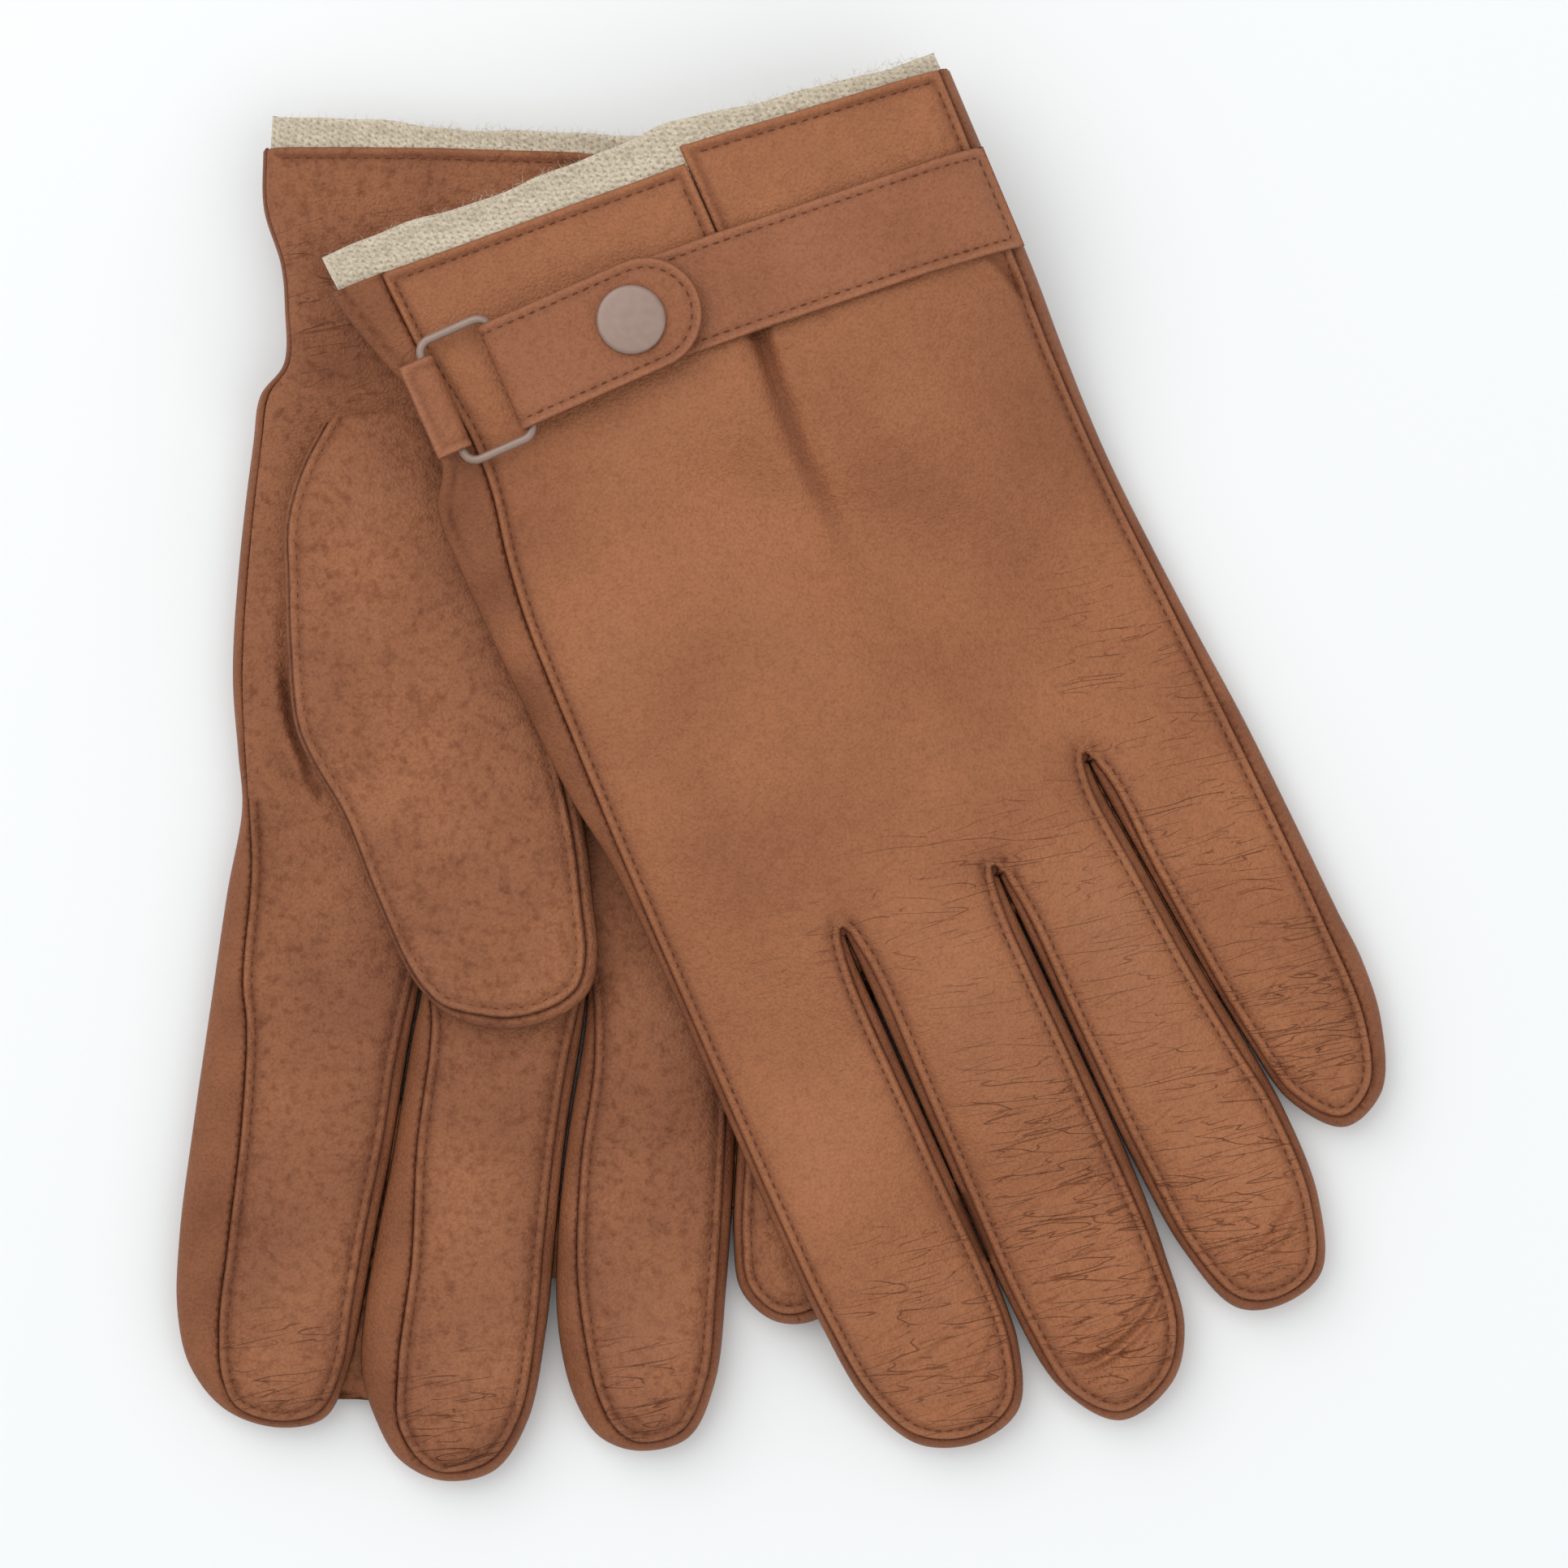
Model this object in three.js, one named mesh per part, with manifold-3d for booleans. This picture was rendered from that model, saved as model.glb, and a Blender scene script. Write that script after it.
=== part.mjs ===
// A pair of lined leather driving gloves lying flat: the right glove palm up on the table, the left glove
// back up across it. Each glove is drawn in its own frame: x runs towards the little finger, y towards the
// cuff and z from the palm to the back of the hand. Both gloves use the same pattern; the right one is
// turned over. The origin is the middle of the pair's footprint on the table.
import * as THREE from 'three';
import { mergeVertices } from 'three/addons/utils/BufferGeometryUtils.js';
import Module from 'manifold-3d';

const wasm = await Module();
wasm.setup();

const LEATHER = 0.9;
const KNIT = 1.0;
const GAP = 0.3;
const HAND_HEIGHT = 10.4;
const THUMB_HEIGHT = 7.2;
const CUFF_Y = { thumb: 143.5, little: 140 };
const LINING_STANDS_OUT = 6;
const LEFT_TURN = THREE.MathUtils.degToRad(23.8);
const RIGHT_TURN = THREE.MathUtils.degToRad(-4.9);
const LEFT_PLACE = [34.6, -21.6];
const RIGHT_PLACE = [-41.4, -32.5];

// Fingers: the middle of the tip, half the width and the lean from the hand's axis in degrees.
const FINGERS = [
  { tip: [-47.3, -92.5], half: 14.9, lean: -2.2 },
  { tip: [-13.5, -101], half: 13.3, lean: -1.5 },
  { tip: [19.5, -91.5], half: 13, lean: 1.3 },
  { tip: [45.6, -66.5], half: 12.3, lean: 2.3 },
];
const CROTCHES = [[-25, -3], [4, -4], [31, 8]];
const CROTCH_RADIUS = 0.9;
const TIP_STEPS = 8;
const CROTCH_STEPS = 4;
const TAIL_STEPS = 14;

// The sides of the hand, from the cuff to the index finger and from the little finger to the cuff.
const THUMB_SIDE = [[-62.5, 125], [-60, 109], [-63, 86], [-62, 50], [-58, 30], [-58.5, 2], [-60.5, -34]];
const LITTLE_SIDE = [[60, -40], [59, -18], [57.5, 7], [55.5, 31], [54.5, 68], [53.5, 104]];
const CUFF_X = { thumb: -64, little: 54 };
// How far in from the thumb side the seam of the back panel runs, at the cuff and on the index finger.
const SEAM_INSET = 6.5;
// The turned-over edge beside that seam ends at the index finger's tip.
const FLANGE_END_Y = -62;
const FLANGE_END_X = -40;

// The thumb, folded over the palm.
const THUMB_OUTLINE = [
  [-42, 86], [-52, 80], [-56.5, 66], [-54, 48], [-47, 26], [-38, 9], [-27, -7], [-12, -15.5],
  [3, -11], [6.6, -2], [3, 15], [-7, 42], [-17, 65], [-29, 82],
];
const THUMB_POINTS = 36;
const THUMB_HOLE = { x: -32, y: 48, rx: 9, ry: 22, turn: 0.32 };

// The strap: its middle line, its width and the places of the ring's bars and of the snap along it. Past the
// snap the strap's middle line drops towards the fingers through its bends, to where it is sewn down.
const STRAP_Y = 118.4;
const STRAP_HALF = 9.65;
const STRAP_BENDS = [[-10, 0], [5, -1.1], [53, -5.4]];
const STRAP_LIFT = 0.9;
const TAIL_HALF = 10.2;
const TAIL_END_X = -3;
const WIRE = 0.8;
const BAR_Z = STRAP_LIFT + LEATHER + GAP + WIRE;
const TAB_BAR_X = -53.2;
const TAIL_BAR_X = -39.8;
const RING_HALF = TAIL_HALF + 1.5;
const RING_CORNER = 2;
const TAB_HALF = 9;
const TAB_ROOT_X = -58;
const TAIL_Z = BAR_Z + WIRE + GAP;
const TAIL_TUCK = 1.45 * Math.PI;
const SNAP = { x: -16, y: STRAP_Y, cap: 6.25, socket: 4.8, knob: 1.9, shank: 1 };
const CAP_RISE = 1.2;
const VENT = { x: 5, y: 110, half: 0.5 };
const ELASTIC = { y: 100, width: 8, thickness: 0.5, ends: [-54, 48] };

// The left glove lies level on the right one's palm, with its own thumb between them, and falls to the
// table along a line at an angle to the hand.
const STACK_HEIGHT = HAND_HEIGHT + THUMB_HEIGHT + 1;
const FALL_NORMAL = [0.887, -0.461];
const FALL_STARTS = -16;
const FALL_SLOPE = 0.4;
const TABLE_GAP = 0.2;
// The right glove lies on the table and rises at the wrist, over the strap and snap under it.
const WRIST_RISE = { from: 86, to: 101, height: 6.9 };

// How far a cutting body runs past what it cuts, and a distance past the whole glove.
const PAST = 9;
const FAR = 200;

const LEATHER_COLOUR = 0xa5694a;
const PALM_COLOUR = 0x96644b;
const KNIT_COLOUR = 0xd7cdb9;
const ENAMEL_COLOUR = 0x967869;

const leather = () => new THREE.MeshStandardMaterial({ color: LEATHER_COLOUR, roughness: 0.62 });
const palmLeather = () => new THREE.MeshStandardMaterial({ color: PALM_COLOUR, roughness: 0.75 });
const knit = () => new THREE.MeshStandardMaterial({ color: KNIT_COLOUR, roughness: 0.95 });
const enamel = () => new THREE.MeshStandardMaterial({ color: ENAMEL_COLOUR, roughness: 0.4, metalness: 0.5 });

// A half circle about centre: it starts against the direction from, swings through ahead and ends along from.
function arc(centre, radius, from, steps, ahead) {
  const points = [];
  for (let i = 0; i <= steps; i += 1) {
    const angle = (Math.PI * i) / steps;
    const back = -Math.cos(angle) * radius;
    const out = Math.sin(angle) * radius;
    points.push([centre[0] + back * from[0] + out * ahead[0], centre[1] + back * from[1] + out * ahead[1]]);
  }
  return points;
}

function fingerTip(finger, inset) {
  const lean = THREE.MathUtils.degToRad(finger.lean);
  const ahead = [Math.sin(lean), -Math.cos(lean)];
  const across = [Math.cos(lean), Math.sin(lean)];
  const centre = [finger.tip[0] - ahead[0] * finger.half, finger.tip[1] - ahead[1] * finger.half];
  return arc(centre, finger.half - inset, across, TIP_STEPS, ahead);
}

const crotch = (centre, inset) => arc(centre, CROTCH_RADIUS + inset, [1, 0], CROTCH_STEPS, [0, 1]);

// The outline of the hand, counter-clockwise from the thumb corner of the cuff, drawn in by inset all round
// except at the cuff, which moves out by cuff. thumbInset draws in the thumb side alone.
function handOutline(inset, cuff = 0, thumbInset = inset) {
  const points = [[CUFF_X.thumb + thumbInset, CUFF_Y.thumb + cuff]];
  THUMB_SIDE.forEach(([x, y]) => points.push([x + thumbInset, y]));
  FINGERS.forEach((finger, i) => {
    const tip = fingerTip(finger, inset);
    if (i === 0) tip.forEach((p) => { p[0] = Math.max(p[0], CUFF_X.thumb + thumbInset + 1); });
    points.push(...tip);
    if (i < CROTCHES.length) points.push(...crotch(CROTCHES[i], inset));
  });
  LITTLE_SIDE.forEach(([x, y]) => points.push([x - inset, y]));
  points.push([CUFF_X.little - inset, CUFF_Y.little + cuff]);
  return points;
}

const INDEX_TIP_MIDDLE = 1 + THUMB_SIDE.length + TIP_STEPS / 2;
const TIP_TO_TIP = TIP_STEPS + CROTCH_STEPS + 2;
const GUSSET_FROM = 5;
const LITTLE_TIP_MIDDLE = INDEX_TIP_MIDDLE + 3 * TIP_TO_TIP;
const LAST = LITTLE_TIP_MIDDLE + TIP_STEPS / 2 + LITTLE_SIDE.length + 1;

function thumbOutline(inset) {
  const curve = new THREE.CatmullRomCurve3(THUMB_OUTLINE.map(([x, y]) => new THREE.Vector3(x, y, 0)), true);
  const points = [];
  for (let i = 0; i < THUMB_POINTS; i += 1) {
    const at = curve.getPointAt(i / THUMB_POINTS);
    const along = curve.getTangentAt(i / THUMB_POINTS);
    points.push([at.x - along.y * inset, at.y + along.x * inset]);
  }
  return points;
}

function holeOutline(inset) {
  const { x, y, rx, ry, turn } = THUMB_HOLE;
  const curve = new THREE.EllipseCurve(x, y, rx - inset, ry - inset, 0, 2 * Math.PI, false, turn);
  return curve.getPoints(20).slice(0, 20).map((p) => [p.x, p.y]);
}

const toShape = (points) => new THREE.Shape(points.map(([x, y]) => new THREE.Vector2(x, y)));

function slab(points, bottom, top) {
  const geometry = new THREE.ExtrudeGeometry(toShape(points), { depth: top - bottom, bevelEnabled: false });
  return geometry.translate(0, 0, bottom);
}

// A wall of leather's thickness just inside the hand's outline, between two of its points.
function wall(from, to, bottom, top) {
  const outer = handOutline(0).slice(from, to + 1);
  const inner = handOutline(LEATHER).slice(from, to + 1).reverse();
  return slab([...outer, ...inner], bottom, top);
}

// A profile in x and z, extruded across the strap.
function acrossStrap(shape, half) {
  const geometry = new THREE.ExtrudeGeometry(shape, { depth: 2 * half, bevelEnabled: false, curveSegments: 8 });
  return geometry.rotateX(Math.PI / 2).translate(0, STRAP_Y + half, 0);
}

function solid(geometry) {
  const bare = geometry.clone();
  bare.deleteAttribute('normal');
  bare.deleteAttribute('uv');
  const merged = mergeVertices(bare, 1e-4);
  const mesh = new wasm.Mesh({
    numProp: 3,
    vertProperties: new Float32Array(merged.attributes.position.array),
    triVerts: new Uint32Array(merged.index.array),
  });
  return new wasm.Manifold(mesh);
}

function toGeometry(manifold) {
  const mesh = manifold.getMesh();
  const geometry = new THREE.BufferGeometry();
  geometry.setAttribute('position', new THREE.BufferAttribute(new Float32Array(mesh.vertProperties), 3));
  geometry.setIndex(new THREE.BufferAttribute(new Uint32Array(mesh.triVerts), 1));
  return geometry;
}

const union = (...parts) => parts.map(solid).reduce((all, part) => all.add(part));
const cut = (body, ...tools) => tools.map(solid).reduce((rest, tool) => rest.subtract(tool), body);

function box(x0, x1, y0, y1, z0, z1) {
  const geometry = new THREE.BoxGeometry(x1 - x0, y1 - y0, z1 - z0);
  return geometry.translate((x0 + x1) / 2, (y0 + y1) / 2, (z0 + z1) / 2);
}

// Each glove is bent along straight creases. A crease is where a linear function of x and y is zero, and
// between creases the lift is linear, so that neighbouring pieces keep their gaps.
const pastEdge = (x, y) => FALL_NORMAL[0] * x + FALL_NORMAL[1] * y - FALL_STARTS;
const DROP = STACK_HEIGHT - TABLE_GAP;
const LEFT_BEND = {
  creases: [pastEdge, (x, y) => DROP - FALL_SLOPE * pastEdge(x, y)],
  lift: (x, y) => -Math.min(Math.max(0, FALL_SLOPE * pastEdge(x, y)), DROP),
};
const RIGHT_BEND = {
  creases: [(x, y) => y - WRIST_RISE.from, (x, y) => y - WRIST_RISE.to],
  lift: (x, y) => {
    const share = (y - WRIST_RISE.from) / (WRIST_RISE.to - WRIST_RISE.from);
    return -WRIST_RISE.height * Math.min(Math.max(0, share), 1);
  },
};

// Splits every triangle along the line where a linear function of x and y is zero.
function splitAlong(geometry, line) {
  const source = geometry.index ? geometry.toNonIndexed() : geometry;
  const at = source.attributes.position;
  const out = [];
  for (let i = 0; i < at.count; i += 3) {
    const corners = [0, 1, 2].map((k) => new THREE.Vector3().fromBufferAttribute(at, i + k));
    const side = corners.map((p) => line(p.x, p.y));
    const alone = [0, 1, 2].find((k) => side[k] * side[(k + 1) % 3] < 0 && side[k] * side[(k + 2) % 3] < 0);
    const edge = [0, 1, 2].find((k) => side[k] * side[(k + 1) % 3] < 0);
    if (alone !== undefined) {
      const [a, b, c] = [0, 1, 2].map((k) => corners[(alone + k) % 3]);
      const [fa, fb, fc] = [0, 1, 2].map((k) => side[(alone + k) % 3]);
      const ab = a.clone().lerp(b, fa / (fa - fb));
      const ac = a.clone().lerp(c, fa / (fa - fc));
      out.push(a, ab, ac, ab, b, c, ab, c, ac);
    } else if (edge !== undefined) {
      const [a, b, c] = [0, 1, 2].map((k) => corners[(edge + k) % 3]);
      const ab = a.clone().lerp(b, side[edge] / (side[edge] - side[(edge + 1) % 3]));
      out.push(a, ab, c, ab, b, c);
    } else {
      out.push(...corners);
    }
  }
  return new THREE.BufferGeometry().setFromPoints(out);
}

function bent(geometry, bend) {
  const split = bend.creases.reduce(splitAlong, geometry);
  const at = split.attributes.position;
  for (let i = 0; i < at.count; i += 1) {
    at.setZ(i, at.getZ(i) + bend.lift(at.getX(i), at.getY(i)));
  }
  split.computeVertexNormals();
  return split;
}

// The back panel's seam runs in from the edge on the thumb side, and its cuff is slit at the vent.
function backPanel() {
  const panel = slab(handOutline(0, 0, SEAM_INSET), HAND_HEIGHT - LEATHER, HAND_HEIGHT);
  const { x, y, half } = VENT;
  const slit = box(x - half, x + half, y, FAR, 0, HAND_HEIGHT + PAST);
  return toGeometry(cut(solid(panel), slit));
}

// The turned-over edge beside the back panel's seam, between two places along the hand.
function flange(fromY, toY) {
  const edge = slab(handOutline(0), HAND_HEIGHT - LEATHER, HAND_HEIGHT);
  const top = HAND_HEIGHT + PAST;
  const inside = slab(handOutline(-GAP, 1, SEAM_INSET - GAP), 0, top);
  const above = box(-FAR, FAR, toY, FAR, 0, top);
  const below = box(-FAR, FAR, -FAR, fromY, 0, top);
  const fingers = box(FLANGE_END_X, FAR, -FAR, FAR, 0, top);
  return cut(solid(edge), inside, above, below, fingers);
}

function palmPanel() {
  const top = HAND_HEIGHT - LEATHER / 2;
  const floor = slab(handOutline(0), 0, LEATHER);
  const thumbWall = wall(0, GUSSET_FROM, LEATHER / 2, top);
  const littleWall = wall(LITTLE_TIP_MIDDLE, LAST, LEATHER / 2, HAND_HEIGHT - LEATHER - GAP);
  const shell = union(floor, thumbWall, littleWall).add(flange(THUMB_SIDE[GUSSET_FROM - 1][1], CUFF_Y.thumb + 1));
  return toGeometry(cut(shell, slab(holeOutline(0), -PAST, LEATHER + GAP)));
}

function indexGusset() {
  const start = THUMB_SIDE[GUSSET_FROM - 1][1] - GAP;
  const side = union(wall(GUSSET_FROM, INDEX_TIP_MIDDLE, LEATHER + GAP, HAND_HEIGHT - LEATHER / 2));
  const trimmed = cut(side, box(-FAR, 0, start, FAR, 0, FAR)).add(flange(FLANGE_END_Y, start));
  const tip = box(-FAR, FAR, -FAR, FLANGE_END_Y, HAND_HEIGHT - LEATHER - GAP, FAR);
  return toGeometry(cut(trimmed, tip));
}

function fourchette(i) {
  const from = INDEX_TIP_MIDDLE + i * TIP_TO_TIP;
  const strip = wall(from, from + TIP_TO_TIP, LEATHER + GAP, HAND_HEIGHT - LEATHER - GAP);
  const tips = [i, i + 1].map((k) => {
    const { tip, half } = FINGERS[k];
    return box(tip[0] - GAP, tip[0] + GAP, tip[1] - PAST, tip[1] + half, 0, HAND_HEIGHT);
  });
  return toGeometry(cut(solid(strip), ...tips));
}

const THUMB_TOP = -GAP;
const THUMB_BOTTOM = -GAP - THUMB_HEIGHT;

function thumbBack() {
  const sheet = slab(thumbOutline(0), THUMB_TOP - LEATHER, THUMB_TOP);
  return toGeometry(cut(solid(sheet), slab(holeOutline(0), THUMB_BOTTOM, PAST)));
}

function thumbFront() {
  const rim = THUMB_TOP - LEATHER - GAP;
  const shell = slab(thumbOutline(0), THUMB_BOTTOM, rim);
  return toGeometry(cut(solid(shell), slab(thumbOutline(LEATHER), THUMB_BOTTOM + LEATHER, PAST)));
}

// One bag with four fingers and a thumb that branches off through the palm's thumb hole.
function knitLining() {
  const inset = LEATHER + GAP;
  const deep = inset + KNIT;
  const hand = slab(handOutline(inset, LINING_STANDS_OUT), inset, HAND_HEIGHT - inset);
  const handHollow = slab(handOutline(deep, LINING_STANDS_OUT + PAST), deep, HAND_HEIGHT - deep);
  const thumb = slab(thumbOutline(inset), THUMB_BOTTOM + inset, THUMB_TOP - inset);
  const thumbHollow = slab(thumbOutline(deep), THUMB_BOTTOM + deep, THUMB_TOP - deep);
  const duct = slab(holeOutline(GAP), THUMB_TOP - deep + KNIT / 2, deep - KNIT / 2);
  const ductHollow = slab(holeOutline(GAP + KNIT), THUMB_TOP - deep - KNIT, deep + KNIT);
  const { y, width, ends } = ELASTIC;
  const recess = box(ends[0] - GAP, ends[1] + GAP, y - GAP, y + width + GAP, 0, inset + ELASTIC.thickness + GAP);
  return toGeometry(cut(union(hand, thumb, duct), handHollow, thumbHollow, ductHollow, recess));
}

function wristElastic() {
  const { y, width, thickness, ends } = ELASTIC;
  return box(ends[0], ends[1], y, y + width, LEATHER + GAP, LEATHER + GAP + thickness);
}

function bore(radius) {
  const tool = new THREE.CylinderGeometry(radius, radius, FAR, 16).rotateX(Math.PI / 2);
  return tool.translate(SNAP.x, SNAP.y, HAND_HEIGHT);
}

function strap() {
  const z = HAND_HEIGHT + STRAP_LIFT;
  const start = TAIL_BAR_X + WIRE + GAP + LEATHER + GAP;
  const line = [[start, 0], ...STRAP_BENDS];
  const near = line.map(([x, drop]) => [x, STRAP_Y + drop - STRAP_HALF]);
  const far = line.map(([x, drop]) => [x, STRAP_Y + drop + STRAP_HALF]).reverse();
  return toGeometry(cut(solid(slab([...near, ...far], z, z + LEATHER)), bore(SNAP.shank + GAP)));
}

// The end of the strap: round the ring's bar and back over the strap to a round end.
function strapTail() {
  const z = HAND_HEIGHT + BAR_Z;
  const inner = WIRE + GAP;
  const outer = inner + LEATHER;
  const profile = new THREE.Shape();
  profile.moveTo(TAIL_END_X, z + inner);
  profile.lineTo(TAIL_END_X, z + outer);
  profile.lineTo(TAIL_BAR_X, z + outer);
  profile.absarc(TAIL_BAR_X, z, outer, Math.PI / 2, TAIL_TUCK, false);
  profile.absarc(TAIL_BAR_X, z, inner, TAIL_TUCK, Math.PI / 2, true);
  const folded = solid(acrossStrap(profile, TAIL_HALF + PAST));
  const end = arc([TAIL_END_X - TAIL_HALF, STRAP_Y], TAIL_HALF, [0, 1], TAIL_STEPS, [1, 0]);
  const start = TAIL_BAR_X - PAST;
  const plan = [[start, STRAP_Y - TAIL_HALF], ...end, [start, STRAP_Y + TAIL_HALF]];
  return toGeometry(cut(folded.intersect(solid(slab(plan, z - PAST, z + PAST))), bore(SNAP.shank + GAP)));
}

function keeperTab() {
  const z = HAND_HEIGHT + BAR_Z;
  const inner = WIRE + GAP;
  const outer = inner + LEATHER;
  const profile = new THREE.Shape();
  profile.moveTo(TAB_ROOT_X, z - outer);
  profile.lineTo(TAB_BAR_X, z - outer);
  profile.absarc(TAB_BAR_X, z, outer, -Math.PI / 2, Math.PI / 2, false);
  profile.lineTo(TAB_ROOT_X, z + outer);
  profile.lineTo(TAB_ROOT_X, z + inner);
  profile.lineTo(TAB_BAR_X, z + inner);
  profile.absarc(TAB_BAR_X, z, inner, Math.PI / 2, -Math.PI / 2, true);
  profile.lineTo(TAB_ROOT_X, z - inner);
  return acrossStrap(profile, TAB_HALF);
}

function roundedPath(path, halfX, halfY, corner) {
  path.moveTo(halfX, -halfY + corner);
  path.absarc(halfX - corner, halfY - corner, corner, 0, Math.PI / 2, false);
  path.absarc(-halfX + corner, halfY - corner, corner, Math.PI / 2, Math.PI, false);
  path.absarc(-halfX + corner, -halfY + corner, corner, Math.PI, 1.5 * Math.PI, false);
  path.absarc(halfX - corner, -halfY + corner, corner, 1.5 * Math.PI, 2 * Math.PI, false);
  return path;
}

function ring() {
  const halfX = (TAIL_BAR_X - TAB_BAR_X) / 2;
  const flat = WIRE / 2;
  const outline = roundedPath(new THREE.Shape(), halfX + flat, RING_HALF + flat, RING_CORNER + flat);
  outline.holes.push(roundedPath(new THREE.Path(), halfX - flat, RING_HALF - flat, RING_CORNER - flat));
  const bevel = { bevelThickness: flat, bevelSize: flat, bevelSegments: 1, curveSegments: 5 };
  const loop = new THREE.ExtrudeGeometry(outline, { depth: WIRE, ...bevel });
  return loop.translate(TAB_BAR_X + halfX, STRAP_Y, HAND_HEIGHT + BAR_Z - WIRE / 2);
}

function lathed(profile) {
  const points = profile.map(([radius, z]) => new THREE.Vector2(radius, z));
  const geometry = new THREE.LatheGeometry(points, 20).rotateX(Math.PI / 2);
  return geometry.translate(SNAP.x, SNAP.y, HAND_HEIGHT);
}

function snapCap() {
  const z = TAIL_Z + LEATHER + GAP;
  const { cap, shank } = SNAP;
  return lathed([
    [0, TAIL_Z], [shank, TAIL_Z], [shank, z], [cap - 0.3, z], [cap, z + 0.3], [cap - 0.2, z + 0.8],
    [cap - 1, z + CAP_RISE - 0.1], [cap / 2, z + CAP_RISE], [0, z + CAP_RISE],
  ]);
}

const STUD_Z = STRAP_LIFT + LEATHER;

function snapSocket() {
  const bottom = STUD_Z + GAP;
  const top = TAIL_Z - GAP;
  const hole = SNAP.knob + GAP;
  return lathed([[hole, bottom], [SNAP.socket, bottom], [SNAP.socket, top], [hole, top], [hole, bottom]]);
}

function snapStud() {
  const { knob, shank } = SNAP;
  const bottom = STUD_Z + GAP;
  const top = TAIL_Z - GAP;
  return lathed([[0, STRAP_LIFT], [shank, STRAP_LIFT], [shank, bottom], [knob, bottom], [knob, top - 0.4],
    [knob - 0.4, top], [0, top]]);
}

function snapPost() {
  const top = STRAP_LIFT - GAP;
  return lathed([[0, GAP], [SNAP.socket, GAP], [SNAP.socket, top], [0, top]]);
}

const SOFT = {
  back_panel: [backPanel, leather],
  palm_panel: [palmPanel, palmLeather],
  index_side_gusset: [indexGusset, leather],
  fourchette_index_middle: [() => fourchette(0), leather],
  fourchette_middle_ring: [() => fourchette(1), leather],
  fourchette_ring_little: [() => fourchette(2), leather],
  thumb_back: [thumbBack, palmLeather],
  thumb_front: [thumbFront, palmLeather],
  knit_lining: [knitLining, knit],
  wrist_elastic: [wristElastic, knit],
  strap: [strap, leather],
};
const FITTINGS = {
  strap_tail: [strapTail, leather],
  ring_keeper_tab: [keeperTab, leather],
  ring: [ring, enamel],
  snap_cap: [snapCap, enamel],
  snap_socket: [snapSocket, enamel],
  snap_stud: [snapStud, enamel],
  snap_post: [snapPost, enamel],
};

function glove(side, bend) {
  const group = new THREE.Group();
  Object.entries({ ...SOFT, ...FITTINGS }).forEach(([name, [make, material]]) => {
    const soft = name in SOFT;
    const mesh = new THREE.Mesh(soft ? bent(make(), bend) : make(), material());
    mesh.name = `${side}_${name}`;
    if (!soft) mesh.position.z = bend.lift(SNAP.x, STRAP_Y);
    group.add(mesh);
  });
  return group;
}

const left = glove('left', LEFT_BEND);
left.position.set(...LEFT_PLACE, STACK_HEIGHT);
left.rotation.z = LEFT_TURN;

// Turned over: the mirror in z makes the other hand of it.
const right = glove('right', RIGHT_BEND);
right.scale.z = -1;
right.position.set(...RIGHT_PLACE, HAND_HEIGHT);
right.rotation.z = RIGHT_TURN;

const pair = new THREE.Group();
pair.add(left, right);
const extent = new THREE.Box3().setFromObject(pair, true);
const middle = extent.getCenter(new THREE.Vector3());
pair.position.set(-middle.x, -middle.y, -extent.min.z);

export default pair;
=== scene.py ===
"""A pair of lined leather driving gloves: the right one palm up on a pale table, the left one back up on it.

Each glove is drawn in its own plan, in millimetres: x runs towards the little finger and y towards the cuff.
Heights are millimetres above the table. To_world turns a plan and its heights into the frame's metres.
"""

import math

import bpy
import numpy as np
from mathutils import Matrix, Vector, kdtree
from mathutils.geometry import delaunay_2d_cdt


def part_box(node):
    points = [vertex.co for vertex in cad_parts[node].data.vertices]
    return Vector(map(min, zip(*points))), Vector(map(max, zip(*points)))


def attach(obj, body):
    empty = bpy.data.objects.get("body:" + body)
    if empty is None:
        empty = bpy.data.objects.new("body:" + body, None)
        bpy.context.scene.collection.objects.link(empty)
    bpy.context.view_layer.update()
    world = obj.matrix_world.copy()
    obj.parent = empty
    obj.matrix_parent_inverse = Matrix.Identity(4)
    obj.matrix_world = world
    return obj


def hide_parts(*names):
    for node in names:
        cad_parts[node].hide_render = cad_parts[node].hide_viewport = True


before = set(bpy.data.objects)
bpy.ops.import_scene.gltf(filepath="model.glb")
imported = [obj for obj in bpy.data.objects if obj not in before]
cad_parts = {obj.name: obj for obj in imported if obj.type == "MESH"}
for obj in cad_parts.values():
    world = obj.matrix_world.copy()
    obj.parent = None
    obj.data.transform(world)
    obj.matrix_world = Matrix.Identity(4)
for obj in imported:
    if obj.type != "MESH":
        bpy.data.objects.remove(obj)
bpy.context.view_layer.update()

MM = 0.001
# The leather, and how thick the gloves and the thumbs lie, with the width of the rounding at their edges.
LEATHER = 0.9
PANEL_LAYER = 0.6 * LEATHER
THUMB_LAYER = 0.5 * LEATHER
THICK = 10.4
CUFF_THICK = 8.4
EDGE_RADIUS = 9.0
THUMB_THICK = 7.2
THUMB_RADIUS = 8.0
THUMB_BOTTOMS = {"right": 10.7, "left": 11.1}
SEAM_DEPTH = 0.4
FLOOR_GAP = 0.15
TURNS = {"left": math.radians(23.8), "right": math.radians(-4.9)}
# The outer face of the back under the strap, and which way from it the strap lies.
BACK_FACE = {"left": 29.0, "right": 6.9}
OUTWARDS = {"left": 1.0, "right": -1.0}
# Where the right glove rises from the table on to its own strap, and how far.
WRIST_RISE = (84.0, 103.0, 6.9)
# The height at which the left glove's wrist lies on the right glove.
STACK = 18.6

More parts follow.
